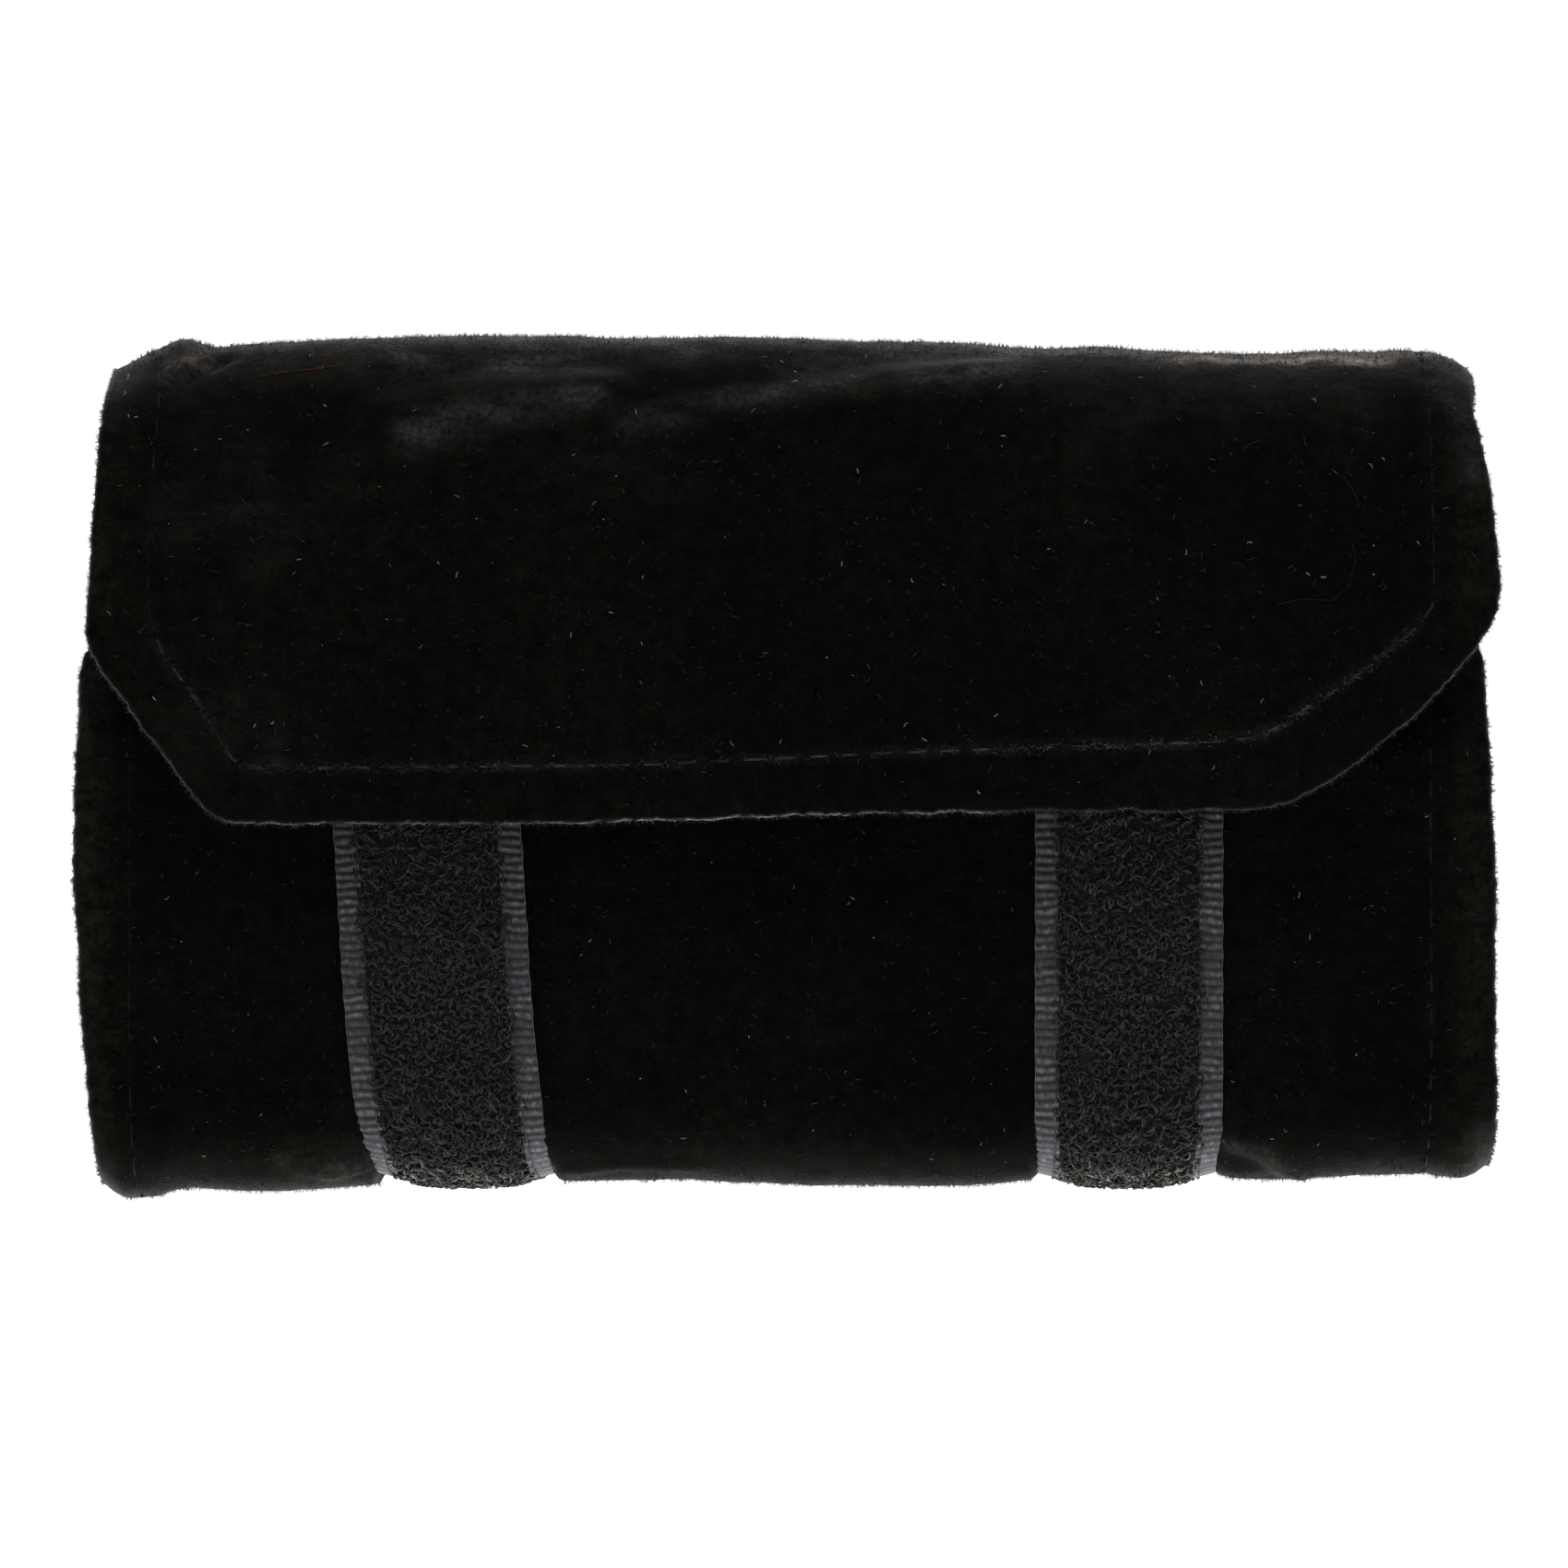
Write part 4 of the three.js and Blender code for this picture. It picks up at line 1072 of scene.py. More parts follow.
# Stitches as pitch, length and rise, and the tufts along them
TOPSTITCH = (4.3, 3.0, 0.08)
LINING_STITCH = (4.3, 3.0, 0.15)
STITCH_TAPER = np.array([0.5, 1, 1, 1, 1, 0.5])
STITCH_RADII = 0.17 * STITCH_TAPER
STITCH_HUMP = np.array([-0.9, 0.7, 1.0, 1.0, 0.7, -0.9])
STITCH_JITTER = 0.08
FIRST_STITCH = 0.5
TUFTS = 15000
TUFT_RADII = np.array([0.03, 0.05, 0.05, 0.045, 0.02])
TUFT_SPREAD = 0.24


def stitches(line, height, pitch, length, hump):
    """Flat places of the stitches along a line, each a short hump of thread."""
    steps = np.r_[0, np.cumsum(np.hypot(*np.diff(line, axis=0).T))]
    starts = np.arange(FIRST_STITCH, steps[-1] - length, pitch)
    jitter = chance.normal(0, STITCH_JITTER, (len(starts), 1))
    at = starts[:, None] + np.linspace(0, length, len(STITCH_HUMP)) + jitter
    x = np.interp(at, steps, line[:, 0])
    run = np.interp(at, steps, line[:, 1])
    return placed(x, run, height(x, run) + hump * STITCH_HUMP)


def stitch_tufts(count, seed):
    """Pile caught and pulled up along the topstitch, thickest where the thread shows most."""
    source = np.random.default_rng(seed)
    which = source.integers(0, len(stitch_line), count)
    spot = stitch_line[which]
    clumped = 0.5 + 0.5 * waves(*spot.T, 3.0, 12)
    which = which[source.random(count) < stitch_tone(*spot.T) * clumped]
    column = (len(which), 1)
    spot = stitch_line[which]
    ahead = stitch_line[(which + 1) % len(stitch_line)] - spot
    steps = np.linspace(0, 1, len(TUFT_RADII))
    turn = np.arctan2(ahead[:, 1], ahead[:, 0])[:, None] + source.normal(0, 0.9, column)
    turn = turn + source.normal(0, 0.8, column) * steps
    across, along = curled(turn, source.uniform(0.2, 0.8, column))
    x = spot[:, :1] + source.normal(0, TUFT_SPREAD, column) + across
    run = spot[:, 1:] + source.normal(0, TUFT_SPREAD, column) + along
    lift = 0.08 + source.uniform(0.05, 0.4, column) * np.sin(math.pi * steps)
    tone = source.uniform(0.1, 1.0, len(which)) * stitch_tone(*spot.T)
    return placed(x, run, velvet_height(x, run) + lift), tone


def inside_lining(x, run):
    """Height of the thread on the lining's inner face."""
    return lining_height(x, run) - 0.2


stitch_loop = np.vstack([stitch_line, stitch_line[:1]])
outer_stitches = stitches(stitch_loop, velvet_height, *TOPSTITCH)
middles = outer_stitches[:, 2, :2]
tone = stitch_tone(*middles.T) * chance.uniform(0.1, 0.8, len(middles))
along_strip("topstitch", outer_stitches, STITCH_RADII, 6, topstitch, tone)
tufts, tone = stitch_tufts(TUFTS, 13)
along_strip("stitch_tufts", tufts, TUFT_RADII, 3, topstitch, tone)
inner_stitches = stitches(stitch_loop, inside_lining, *LINING_STITCH)
along_strip("lining_stitch", inner_stitches, STITCH_RADII, 6, lining_thread)

# Loose fibres: name, count, lengths, radius, rarity of pale ones, seed and sides
FIBRES = [
    ("lint", 2400, (0.3, 1.1), 0.042, 4.2, 21, 4),
    ("specks", 900, (0.1, 0.26), 0.06, 5.0, 22, 5),
]
LINT_FLAP = (4, 74)
LINT_BACK = (75, 212)
LINT_FRONT = (214, 280)
LINT_INSET = 2.2
RED_FIBRES = [
    [(64.7, 30.9), (68.0, 31.6), (71.8, 31.4), (73.9, 33.2), (74.9, 36.8), (74.4, 38.8)],
    [(73.3, 47.5), (74.2, 46.4), (74.6, 45.6), (75.0, 44.8), (75.2, 44.2), (75.3, 43.6)],
    [(58.9, 36.2), (59.4, 36.3), (59.8, 36.2), (60.1, 35.9), (60.3, 35.5), (60.4, 35.1)],
    [(60.0, 50.9), (60.4, 51.4), (60.9, 51.8), (61.4, 52.1), (61.9, 52.2), (62.3, 52.3)],
    [(68.0, 53.0), (68.1, 52.7), (68.2, 52.4), (68.2, 52.1), (68.3, 51.8), (68.5, 51.6)],
    [(55.6, 48.9), (55.7, 48.6), (55.9, 48.4), (56.1, 48.3), (56.3, 48.3), (56.5, 48.4)],
    [(9.9, 64.6), (10.0, 64.2), (10.1, 63.8), (10.3, 63.4), (10.5, 63.1), (10.8, 62.9)],
    [(-69.0, 62.0), (-67.0, 62.4), (-64.6, 62.8), (-62.4, 63.0), (-60.2, 63.4), (-58.0, 63.8)],
]
RED_RADIUS = 0.045


def lint_fibres(count, lengths, radius, rarity, seed):
    """Short curled fibres lying at random on the velvet, few of them pale."""
    source = np.random.default_rng(seed)
    x = source.uniform(-90, 90, count)
    run = np.where(source.random(count) < 0.82, source.uniform(*LINT_FLAP, count), 0)
    run = np.where(source.random(count) < 0.45, source.uniform(*LINT_FRONT, count), run)
    run = np.where(run == 0, source.uniform(*LINT_BACK, count), run)
    inside = is_inside(x, run, (edge - outward * LINT_INSET)[::3])
    x, run = x[inside, None], run[inside, None]
    column = x.shape
    steps = np.linspace(0, 1, len(STITCH_TAPER))
    length = source.uniform(*lengths, column)
    turn = source.uniform(0, FULL_TURN, column) + source.normal(0, 1.3, column) * steps
    across, along = curled(turn, length)
    x, run = x + across, run + along
    lift = 0.06 + source.uniform(0, 0.3, column) * np.sin(math.pi * steps)
    thick = radius * source.uniform(0.6, 1.4, column) * STITCH_TAPER
    tone = 0.1 + 0.9 * source.random(len(x)) ** rarity
    return placed(x, run, velvet_height(x, run) + lift), thick, tone


for name, *settings, sides in FIBRES:
    paths, thick, tone = lint_fibres(*settings)
    along_strip(name, paths, thick, sides, lint, tone)
x, run = np.moveaxis(np.array(RED_FIBRES), -1, 0)
red_paths = placed(x, run, velvet_height(x, run) + 0.08)
along_strip("red_lint", red_paths, RED_RADIUS, 4, red_lint, np.linspace(0.6, 0.95, len(red_paths)))

# Fine pile standing out along the outline and over both visible folds
FUZZ_RADII = np.array([0.045, 0.036, 0.012])
FUZZ_STEPS = np.linspace(0, 1, len(FUZZ_RADII))
FUZZ_ROOT = 0.1


def edge_fuzz(count, seed):
    """Fibres standing out of the rolled rim."""
    source = np.random.default_rng(seed)
    which = source.integers(0, len(edge), count)
    turn = source.uniform(0.15, 0.75, count) * math.pi
    curl = np.interp(edge[which, 1], THIN_TO_THICK, RIM_RADIUS)
    base = edge[which] - outward[which] * RIM_REACH
    base = base + toward[which] * source.uniform(-0.5, 0.5, (count, 1))
    top = velvet_height(*base.T)
    side = outward[which] * np.sin(turn)[:, None]
    length = source.uniform(0.25, 0.75, (count, 1)) * FUZZ_STEPS
    lean = toward[which][:, None] * (source.normal(0, 0.5, (count, 1)) * length)[..., None]
    spot = base[:, None] + side[:, None] * (RIM_REACH + length - FUZZ_ROOT)[..., None] + lean
    height = (top - curl)[:, None] + np.cos(turn)[:, None] * (curl[:, None] + length - FUZZ_ROOT)
    return np.concatenate([spot, height[..., None]], axis=-1)


def fold_fuzz(count, first, last, seed):
    """Fibres standing up over a fold."""
    source = np.random.default_rng(seed)
    x = source.uniform(-88, 90, (count, 1))
    run = source.uniform(first, last, (count, 1))
    length = source.uniform(0.25, 0.7, (count, 1)) * FUZZ_STEPS
    height = velvet_height(x, run) + length - FUZZ_ROOT / 2
    x = x + length * source.normal(0, 0.4, (count, 1))
    run = run + length * source.normal(0, 0.4, (count, 1))
    return placed(x, run, height)


fuzz = np.concatenate([edge_fuzz(15000, 31), fold_fuzz(5200, 66, 84, 32), fold_fuzz(4600, 204, 220, 33)])
along_strip("fuzz", fuzz, FUZZ_RADII, 3, pile_fuzz, chance.random(len(fuzz)))


# Loop tapes on the front panel and round the bottom fold
RIB_PITCH = 1.15
RIB_STEPS = 8
RIB_WANDER = [(0.12, 7, 41), (0.06, 2.5, 46)]
RIB_BLOTCH = [(0.2, 1.1, 44), (0.1, 4.0, 45)]
RIB_RISE = 0.17
SELVEDGE_POINTS = 17
WARP_PITCH = 1.3
BAND_TOP = 0.75
BAND_FOOT = 0.05
GROUND_DROP = 0.3
LOOPS = 4300
LOOP_TAPER = np.array([0.6, 1, 1, 1, 1, 1, 1, 0.6])
LOOP_STEPS = len(LOOP_TAPER)
SEWN_AT = PILE_HALF + 0.35
TAPE_STITCH = (2.6, 2.1, 0.12)
TAPE_THREAD_RADIUS = 0.11


def sewn_on(piece):
    """Bakes the placement of a piece of a tape into its points."""
    bends(piece)


def make_band(side):
    """The tape's woven band, with a cord-like rib across each selvedge."""
    rows = int((TAPE_RUN[1] - TAPE_RUN[0]) / RIB_PITCH * RIB_STEPS)
    run = np.linspace(*TAPE_RUN, rows)
    half = np.r_[np.linspace(PILE_HALF - 0.3, TAPE_HALF - 0.12, SELVEDGE_POINTS), TAPE_HALF, TAPE_HALF]
    across = np.r_[-half[::-1], np.linspace(-8, 8, 6), half]
    x = tape_centre(side, run)[:, None] + across
    runs = np.broadcast_to(run[:, None], x.shape)
    along = (runs + layered(x, runs, RIB_WANDER)) / RIB_PITCH
    along = along - along.min()
    rib = along.astype(int)
    # Toward the bottom fold: ribs worn flatter, and a paler tone that is partly a painted highlight
    worn_and_lit = plateau(run, *TAPE_WORN_AND_LIT)[:, None]
    bulge = np.sin(math.pi * (along % 1)) ** 1.4 * (1 - 0.8 * worn_and_lit)
    selvedge = abs(across) > PILE_HALF - 0.1
    height = BAND_TOP + np.where(selvedge, RIB_RISE * bulge, -GROUND_DROP)
    height[:, [0, -1]] = BAND_FOOT
    height[:, [1, -2]] = BAND_TOP - 0.2 + 0.1 * bulge[:, [1, -2]]
    height += tape_base(across, run[:, None])
    ripple = 0.07 * waves(run, run, 3.2, 43)
    x = x - 0.04 * worn_and_lit * across + ripple[:, None] * (abs(across) > 12)
    tones = np.random.default_rng(42).uniform(0.6, 1.0, rib.max() + 1)
    blotch = np.clip(1 + layered(x, runs, RIB_BLOTCH), 0.4, 1.6)
    warp = 1 + 0.1 * np.sin(FULL_TURN * across / WARP_PITCH + 2.2 * rib)
    # Rib crests paler and the troughs between them darker: painted shade between the ribs
    tone = tones[rib] * (0.26 + 0.74 * bulge) * blotch * warp
    # Paler over the bottom fold: partly wear, partly a painted highlight on the bend
    tone = np.clip(np.minimum(tone * 0.64, 0.6) + 0.34 * worn_and_lit, 0, 1)
    points = folded(x, runs, height).reshape(-1, 3)
    uv = placed(x, runs).reshape(-1, 2)
    faces = grid_faces(rows, len(across))
    under_pile = np.tile(~selvedge[:-1] | ~selvedge[1:], rows - 1)
    for name, chosen, material in (("band", ~under_pile, ribbed), ("ground", under_pile, pile_ground)):
        used, numbers = np.unique(faces[chosen], return_inverse=True)
        shape = points[used], numbers.reshape(-1, 4)
        own = {"tone": tone.ravel()[used]}
        piece = new_piece(f"loop_{name}_{side}", *shape, material, uv[used], own)
        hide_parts(f"front_loop_tape_{side}", f"bottom_spine_loop_tape_{side}")
        sewn_on(piece)


def make_pile(side, count, seed):
    """The curled loops of the tape's pile."""
    source = np.random.default_rng(seed)
    column = (count, 1)
    first, last = TAPE_RUN
    steps = np.linspace(0, 1, LOOP_STEPS)
    run = source.uniform(first + 0.5, last - 0.5, column)
    across = source.uniform(-PILE_HALF, PILE_HALF, column)
    turn = source.uniform(0, FULL_TURN, column)
    turn = turn + source.choice([-1, 1], column) * source.uniform(1.5, 5.5, column) * steps
    aside, along = curled(turn, source.uniform(1.4, 3.2, column))
    border = SEWN_AT + 0.35 * waves(run, 9 * np.sign(across), 4.5, seed)
    border = border + source.uniform(-0.9, 0.9, column)
    across = np.clip(across + aside, -border, border)
    run = np.clip(run + along, first + 0.1, last - 0.1)
    top = source.uniform(0.35, 1.15, column)
    x = tape_centre(side, run) + across
    height = BAND_TOP - GROUND_DROP + top * np.sin(math.pi * steps) ** 0.7 + tape_base(across, run)
    height = height - 0.6 * plateau(run, *TAPE_BEND) * abs(across / PILE_HALF) ** 4
    thick = source.uniform(0.14, 0.21, column) * LOOP_TAPER
    points, faces = flat_tubes(placed(x, run, height), thick)
    x, run = x.mean(axis=1), run.mean(axis=1)
    # Taller loops a little paler and lower ones darker: painted shade among the loops
    tone = 0.17 + source.beta(3.4, 4.6, count) * 0.32 + 0.08 * (top[:, 0] - 0.7)
    tone = tone + 0.05 * waves(x, run, 5.0, seed + 60)
    # Paler over the bottom fold: partly wear, partly a painted highlight on the bend
    tone = np.clip(tone + 0.34 * plateau(run, *TAPE_WORN_AND_LIT) * source.random(count), 0, 1)
    own = {"tone": np.repeat(tone, len(points) // count)}
    sewn_on(new_piece(f"loop_pile_{side}", points, faces, pile, values=own))


def make_tape_stitches(side):
    """Sewing thread down both borders of the pile."""

    def on_band(x, run):
        return BAND_TOP + 0.12 + tape_base(x - tape_centre(side, run), run)

    run = np.linspace(TAPE_RUN[0] + 1, TAPE_RUN[1] - 1, 160)
    middle = tape_centre(side, run) + 0.12 * waves(run, run, 11, 51)
    lines = [np.column_stack([middle + offset, run]) for offset in (-SEWN_AT, SEWN_AT)]
    paths = np.concatenate([stitches(line, on_band, *TAPE_STITCH) for line in lines])
    points, faces = flat_tubes(paths, TAPE_THREAD_RADIUS * STITCH_TAPER, 5)
    sewn_on(new_piece(f"loop_thread_{side}", points, faces, tape_thread))


for seed, side in enumerate(TAPE_CENTRE, 61):
    make_band(side)
    make_pile(side, LOOPS, seed)
    make_tape_stitches(side)


# Pieces that ride on one body
def boxed(node):
    """Low and high corner of a node's box in millimetres."""
    return (np.array(corner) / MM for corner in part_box(node))


def eased(low, high, pitch):
    """Places from low to high, closer together at both ends."""
    count = max(int((high - low) / pitch), 4)
    shares = np.r_[0, 0.012, 0.035, np.linspace(0.07, 0.93, count), 0.965, 0.988, 1]
    return low + (high - low) * shares


def soft_slab(low, high, round_edge, crown, seed, wrinkle, pitch=1.2, down=False):
    """A thin pad in a box: rounded rim, crowned face, soft wrinkles, open underneath."""
    size = high - low
    x, y = np.meshgrid(eased(low[0], high[0], pitch), eased(low[1], high[1], pitch))
    to_edge = np.minimum.reduce([x - low[0], high[0] - x, y - low[1], high[1] - y])
    inward = np.clip(to_edge / round_edge, 0, 1)
    rim = np.sqrt(np.clip(1 - (1 - inward) ** 2, 0, 1))
    over_x = np.clip(np.sin(math.pi * (x - low[0]) / size[0]), 0, 1)
    over_y = np.clip(np.sin(math.pi * (y - low[1]) / size[1]), 0, 1)
    middle = over_x**0.4 * over_y**0.6
    tall = (size[2] - crown - wrinkle) * rim + crown * middle
    tall += wrinkle * rim * waves(x, y, 9, seed) * 0.6
    z = high[2] - tall if down else low[2] + tall
    faces = grid_faces(*x.shape)
    return placed(x, y, z).reshape(-1, 3), faces[:, ::-1] if down else faces


def capped(rings):
    """Points and faces of a tube through rings of points, shut at both ends."""
    count, sides, _ = rings.shape
    faces = [tuple(face) for face in grid_faces(count, sides, closed=True)]
    faces += [tuple(range(sides))[::-1], tuple(range((count - 1) * sides, count * sides))]
    return rings.reshape(-1, 3), faces


def riding(name, shape, material, body, slot, *nodes):
    """A piece that rides on a body and takes the place of nodes, from its points and faces."""
    piece = new_piece(name, *shape, material)
    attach(piece, body)
    if nodes:
        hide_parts(*nodes)
    return piece


# Hook tapes under the flap: a woven base with rows of small bent hooks
HOOK_ACROSS = np.array([0, 0.05, 0.2, 0.6, 0.9, 1.0])
HOOK_DROP = np.array([0, 0.3, 0.52, 0.6, 0.46, 0.3])
HOOK_LEAN = 0.42
HOOK_RADIUS = 0.1
HOOK_BASE = 0.55

for side in TAPE_CENTRE:
    low, high = boxed(f"flap_hook_tape_{side}")
    under = high[2] - HOOK_BASE
    base = soft_slab(np.array([low[0], low[1], under]), high, 0.5, 0.0, 71, 0.02, down=True)
    riding(f"hook_band_{side}", base, hook_weave, "flap", "hook_tape", f"flap_hook_tape_{side}")
    x, y = np.meshgrid(np.arange(low[0] + 3.2, high[0] - 3, 1.35), np.arange(low[1] + 1, high[1] - 0.8, 1.1))
    x, y = x.reshape(-1, 1), y.reshape(-1, 1)
    lean = np.where(np.arange(len(x)) % 2, HOOK_LEAN, -HOOK_LEAN) + chance.normal(0, 0.05, len(x))
    paths = placed(x, y + lean[:, None] * HOOK_ACROSS, under - HOOK_DROP + 0.02)
    riding(f"hooks_{side}", tubes(paths, HOOK_RADIUS, 4), nylon, "flap", "hook_tape")

# Zip pockets, with a tooth given by its shares of the coil's width and height
TOOTH_ACROSS = np.array([0.0, 0.03, 0.2, 0.6, 0.9, 1.05, 1.0])
TOOTH_RISE = np.array([0.15, 0.7, 0.95, 0.98, 0.95, 0.72, 0.4])
TOOTH_RADII = np.array([0.36, 0.36, 0.38, 0.38, 0.42, 0.4, 0.3])
TOOTH_PITCH = 1.25
TOOTH_REACH = 0.75
TOOTH_SINK = 0.25


def zip_teeth(node, row):
    """The coil's turns: bent bars side by side, their heads past the middle line."""
    low, high = boxed(node)
    x = np.arange(low[0] + 0.6, high[0] - 0.4, TOOTH_PITCH)
    root, head = low[1], high[1] + TOOTH_REACH
    if row == "top":
        x = x + TOOTH_PITCH / 2
        root, head = high[1], low[1] - TOOTH_REACH
    y = root + (head - root) * TOOTH_ACROSS
    z = low[2] + (high[2] - low[2]) * TOOTH_RISE - TOOTH_SINK
    return tubes(placed(x[:, None], y, z), TOOTH_RADII, 8)


for level, seed in (("upper", 81), ("lower", 82)):
    sheet = f"{level}_pocket_sheet"
    low, high = boxed(sheet)
    cloth = soft_slab(low, high, 1.2, 0.55, seed, 0.12)
    piece = riding(f"{level}_pocket_cloth", cloth, pocket_satin, "back", "lining", sheet)
    binding = f"{level}_pocket_binding"
    cloth = soft_slab(*boxed(binding), 1.2, 0.25, 83, 0.06)
    riding(f"{level}_binding_cloth", cloth, pocket_satin, "back", "lining", binding)
    for row in ("top", "bottom"):
        tape, coil = f"{level}_zip_tape_{row}", f"{level}_zip_coil_{row}"
        band = soft_slab(*boxed(tape), 0.4, 0.0, 84, 0.03)
        riding(f"{level}_zip_band_{row}", band, zip_weave, "back", "zip_tape", tape)
        riding(f"{level}_zip_teeth_{row}", zip_teeth(coil, row), nylon, "back", "zip_coil", coil)

# Ring bar, its bed and its two ends
BAR_SIDES = 48
BAR_POINTS = 90
BAR_EASE = 0.02
BAR_SEAM_TURN = 4.0
STRAP_HALF = 4.0
STRAP_THICK = 0.8
ANCHOR_HALF = 0.5
ANCHOR_STEPS = 26
ANCHOR_LOOP = np.array([(0, -1), (0.06, -1), (0.94, -1), (1, -0.6), (1, 0.6), (0.94, 1), (0.06, 1), (0, 0.6)])


def turned(profile, centre_y, centre_z, seed, wrinkle):
    """A soft body turned about a line along X, from (x, radius) pairs."""
    x, radius = (np.array(column)[:, None] for column in zip(*profile))
    turn = np.linspace(0, FULL_TURN, BAR_SIDES, endpoint=False)
    seam = 0.25 * bell(np.angle(np.exp(1j * (turn - BAR_SEAM_TURN))), 0.07)
    ripple = wrinkle * waves(x, 5 * np.sin(turn) + 3 * np.cos(turn), 12, seed)
    reach = np.maximum(radius * (1 - BAR_EASE) + np.minimum(radius, 1) * (ripple - seam), 0.01)
    y = centre_y + reach * np.cos(turn)
    z = centre_z + reach * np.sin(turn)
    return placed(x, y, z).reshape(-1, 3), grid_faces(len(profile), BAR_SIDES, closed=True)


low, high = boxed("ring_bar_cover")
first, last = low[0], high[0]
bar_y, bar_z = (low[1:] + high[1:]) / 2
radius = (high[2] - low[2]) / 2
dome = [(first + radius * (1 - math.cos(a)), radius * math.sin(a)) for a in np.linspace(0.02, QUARTER, 12)]
middle = [(x, radius) for x in np.linspace(first + radius + 1, last - 1.2, BAR_POINTS)]
end = [(last - 0.6, radius * 0.97), (last - 0.2, radius * 0.9), (last, radius * 0.8), (last, 0.05)]
bar = turned(dome + middle + end, bar_y, bar_z, 91, 0.12)
bar_nodes = ("ring_bar_cover", "ring_bar_filling")
piece = riding("ring_bar_pad", bar, bar_velvet, "ring_bar", "ring_velvet", *bar_nodes)

low, high = boxed("ring_bar_tab")
first, last = low[0], low[0] + 1.0
cap_profile = [(first, 0.05), (first, radius * 0.9), (first + 0.3, radius)]
cap_profile += [(last - 0.3, radius), (last, radius * 0.9), (last + 0.05, 0.05)]
cap = turned(cap_profile, bar_y, bar_z, 92, 0.02)
_, socket_high = boxed("snap_socket")
strap_low = np.array([last - 0.6, bar_y - STRAP_HALF, socket_high[2] + 0.2])
strap_high = np.array([high[0], bar_y + STRAP_HALF, socket_high[2] + 0.2 + STRAP_THICK])
strap = soft_slab(strap_low, strap_high, 0.8, 0.1, 93, 0.03, 0.6)
under = soft_slab(strap_low - 0.05 * UP, strap_high - 0.85 * UP, 0.8, 0.0, 93, 0.0, 0.6, down=True)
riding("ring_tab_velvet", joined([cap, strap, under]), bar_velvet, "ring_bar", "ring_velvet", "ring_bar_tab")

bed = soft_slab(*boxed("ring_bed"), 2.6, 0.9, 94, 0.15)
piece = riding("ring_bed_pad", bed, bar_velvet, "back", "ring_velvet", "ring_bed")

low, high = boxed("ring_bar_anchor")
lying, standing = low[2] + ANCHOR_HALF, high[0] - ANCHOR_HALF
bend_line = [(low[0], lying), (high[0] - 2.4, lying), (high[0] - 1.1, low[2] + 0.9)]
bend_line += [(standing, low[2] + 2.4), (standing, high[2] - 1.0), (standing, high[2])]
shares, knots = np.linspace(0, 1, ANCHOR_STEPS), np.linspace(0, 1, len(bend_line))
line = np.column_stack([np.interp(shares, knots, column) for column in zip(*bend_line)])
slope = unit(np.gradient(line, axis=0))
across, rise = ANCHOR_LOOP.T
x = line[:, :1] - slope[:, 1:] * rise * ANCHOR_HALF
y = low[1] + (high[1] - low[1]) * across
z = line[:, 1:] + slope[:, :1] * rise * ANCHOR_HALF
anchor = capped(placed(x, y, z))
riding("ring_anchor_velvet", anchor, bar_velvet, "back", "ring_velvet", "ring_bar_anchor")

# Snap: a pressed stud on the bed and its hollow socket under the strap, as (radius, height) pairs
SNAP_SIDES = 40
STUD_PROFILE = [
    (3.5, 0.0), (3.5, 0.15), (3.35, 0.3), (2.9, 0.38), (2.35, 0.42), (2.0, 0.5), (1.9, 0.7), (2.05, 0.9),
    (2.1, 1.0), (1.95, 1.12), (1.5, 1.2), (0.9, 1.2), (0.7, 1.12), (0.4, 1.08),
]
SOCKET_PROFILE = [
    (0.4, 0.7), (1.9, 0.7), (2.15, 0.5), (2.2, 0.15), (2.5, 0.0), (3.1, 0.02), (3.45, 0.25), (3.5, 0.6),
    (3.4, 1.05), (3.0, 1.2), (0.4, 1.2),
]


def spun(profile, node):
    """A shape turned round an upright line in a node's place."""
    low, high = boxed(node)
    centre_x, centre_y, _ = (low + high) / 2
    turn = np.linspace(0, FULL_TURN, SNAP_SIDES, endpoint=False)
    radius, rise = (np.array(column)[:, None] for column in zip(*profile))
    x = centre_x + radius * np.cos(turn)
    y = centre_y + radius * np.sin(turn)
    return capped(placed(x, y, low[2] + rise))


riding("snap_stud_cap", spun(STUD_PROFILE, "snap_stud"), metal, "back", "metal", "snap_stud")
riding("snap_socket_ring", spun(SOCKET_PROFILE, "snap_socket"), metal, "ring_bar", "metal", "snap_socket")

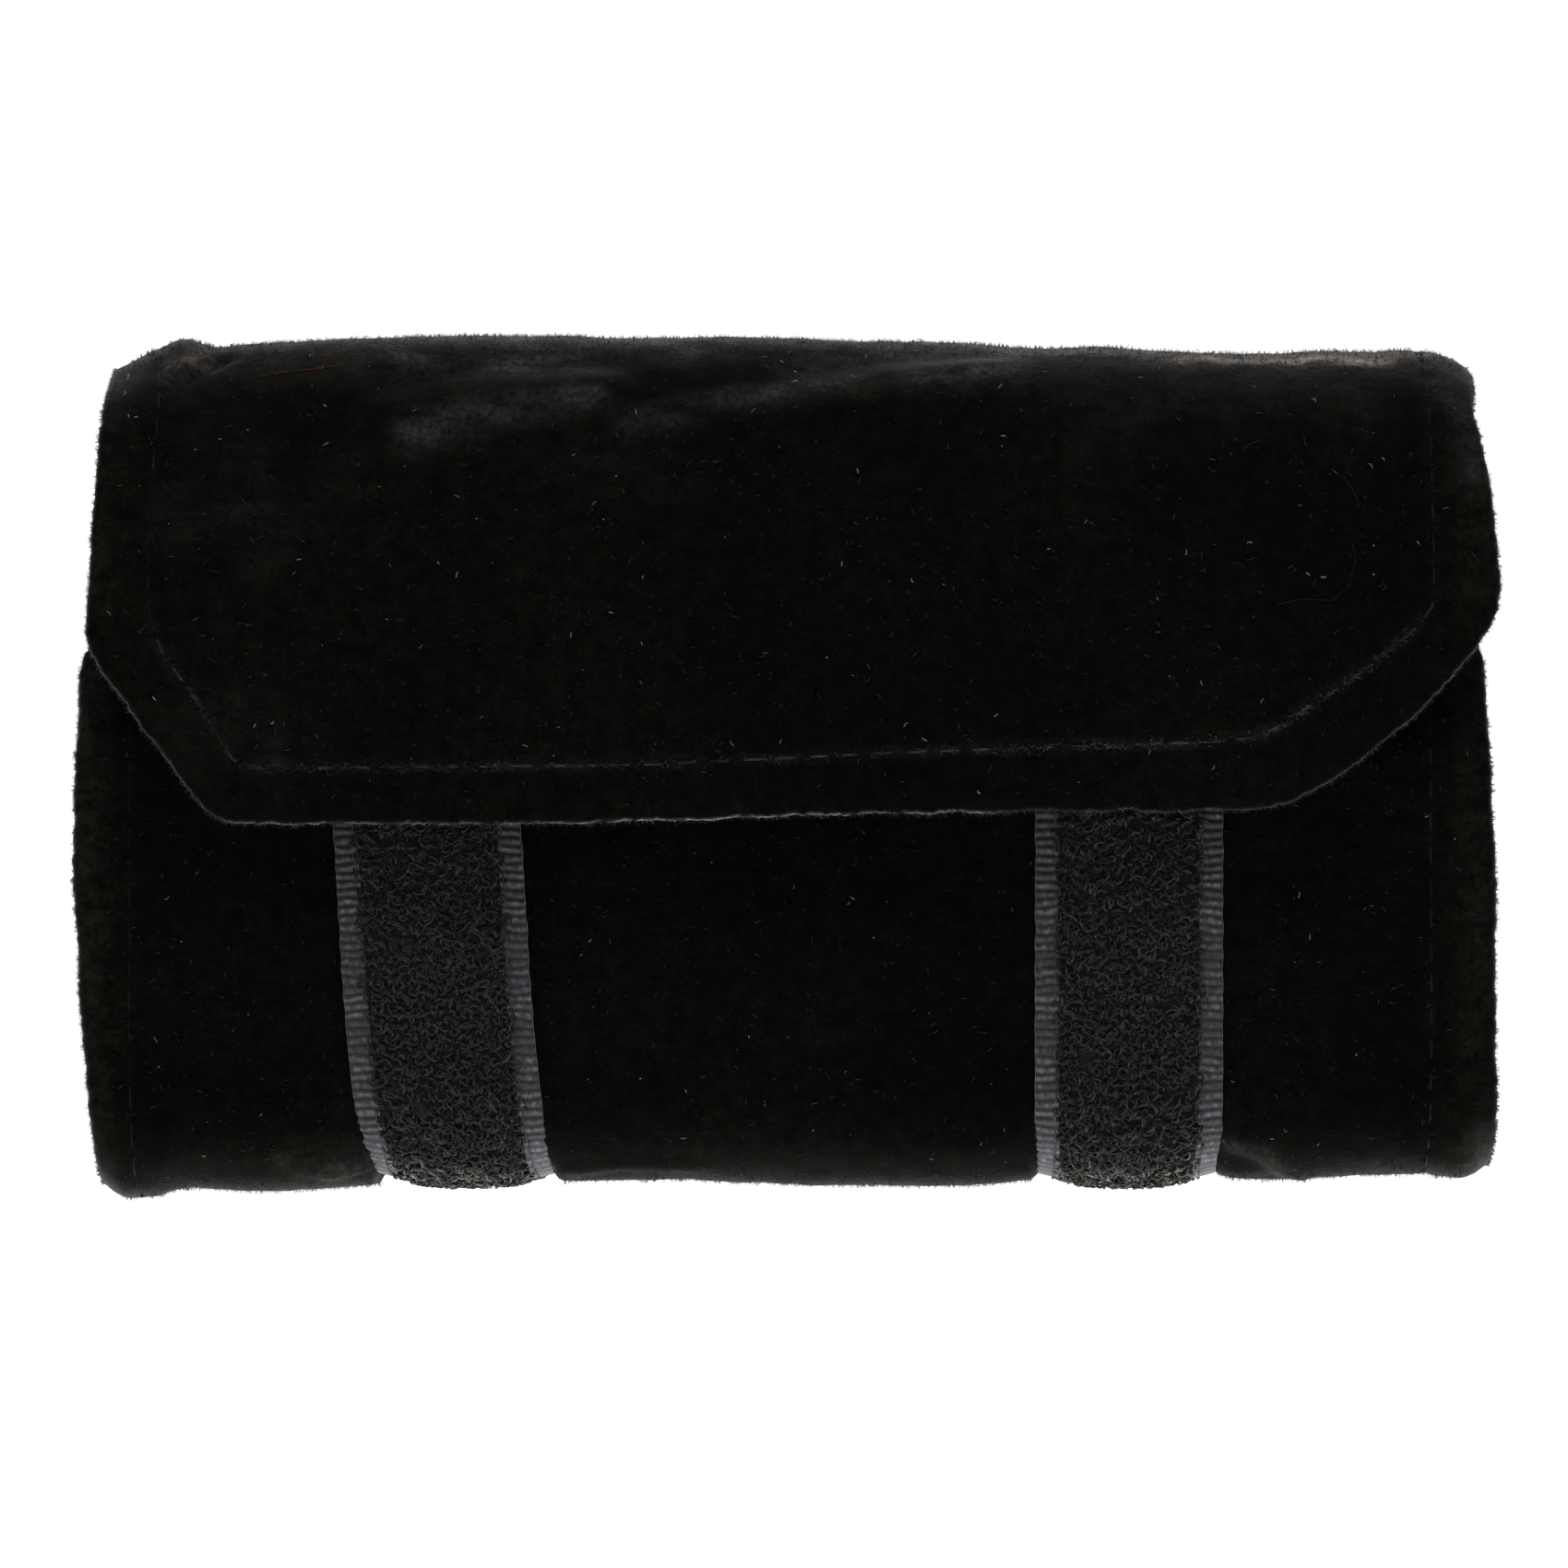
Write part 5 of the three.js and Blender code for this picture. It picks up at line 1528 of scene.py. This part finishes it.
# Metal keeps its solids, with softened edges
METAL_WORDS = ("slider", "pull", "stop")
METAL_EDGE = 0.14

for name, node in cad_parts.items():
    if any(word in name for word in METAL_WORDS):
        node.data.materials.clear()
        node.data.materials.append(metal)
        softening = node.modifiers.new("softened", "BEVEL")
        softening.width = METAL_EDGE * MM
        softening.segments = 2
        softening.limit_method = "ANGLE"

# Floor and light, in metres and watts
FLOOR_HALF = 6
FLOOR_Z = -0.0006
FLOOR_GLOW = 0.95
WORLD_GLOW = 0.08
LIGHTS = [
    ("overhead", (0.0, 0.0, 1.9), (0, 0, 0), (2.2, 2.2), 6),
    ("top_strip", (0.0, 1.0, 0.42), (0, 0, 0.02), (1.6, 0.35), 8),
    ("bottom_strip", (0.0, -1.0, 0.36), (0, 0, 0.02), (1.6, 0.35), 12),
]

look = Look("floor_paper", 0.9, specular=0.1)
grain = look.noise(look.places(False), 40)
look.colour(look.ramp(grain, (0.3, 0.90), (0.7, 0.92)))
look.feed(look.shader.inputs["Emission Color"], (1, 1, 1))
look.feed(look.shader.inputs["Emission Strength"], FLOOR_GLOW)
mesh = bpy.data.meshes.new("floor")
corners = [(FLOOR_HALF * x, FLOOR_HALF * y, FLOOR_Z) for x, y in ((-1, -1), (1, -1), (1, 1), (-1, 1))]
mesh.from_pydata(corners, [], [(0, 1, 2, 3)])
mesh.materials.append(look.material)
floor = bpy.data.objects.new("floor", mesh)
bpy.context.scene.collection.objects.link(floor)

for name, place, target, size, power in LIGHTS:
    data = bpy.data.lights.new(name, "AREA")
    data.shape = "RECTANGLE"
    data.size, data.size_y = size
    data.energy = power
    light = bpy.data.objects.new(name, data)
    light.location = place
    light.rotation_euler = (Vector(target) - Vector(place)).to_track_quat("-Z", "Y").to_euler()
    bpy.context.scene.collection.objects.link(light)

world = bpy.data.worlds.new("studio")
world.use_nodes = True
world.node_tree.nodes["Background"].inputs["Color"].default_value = (1, 1, 1, 1)
world.node_tree.nodes["Background"].inputs["Strength"].default_value = WORLD_GLOW
bpy.context.scene.world = world
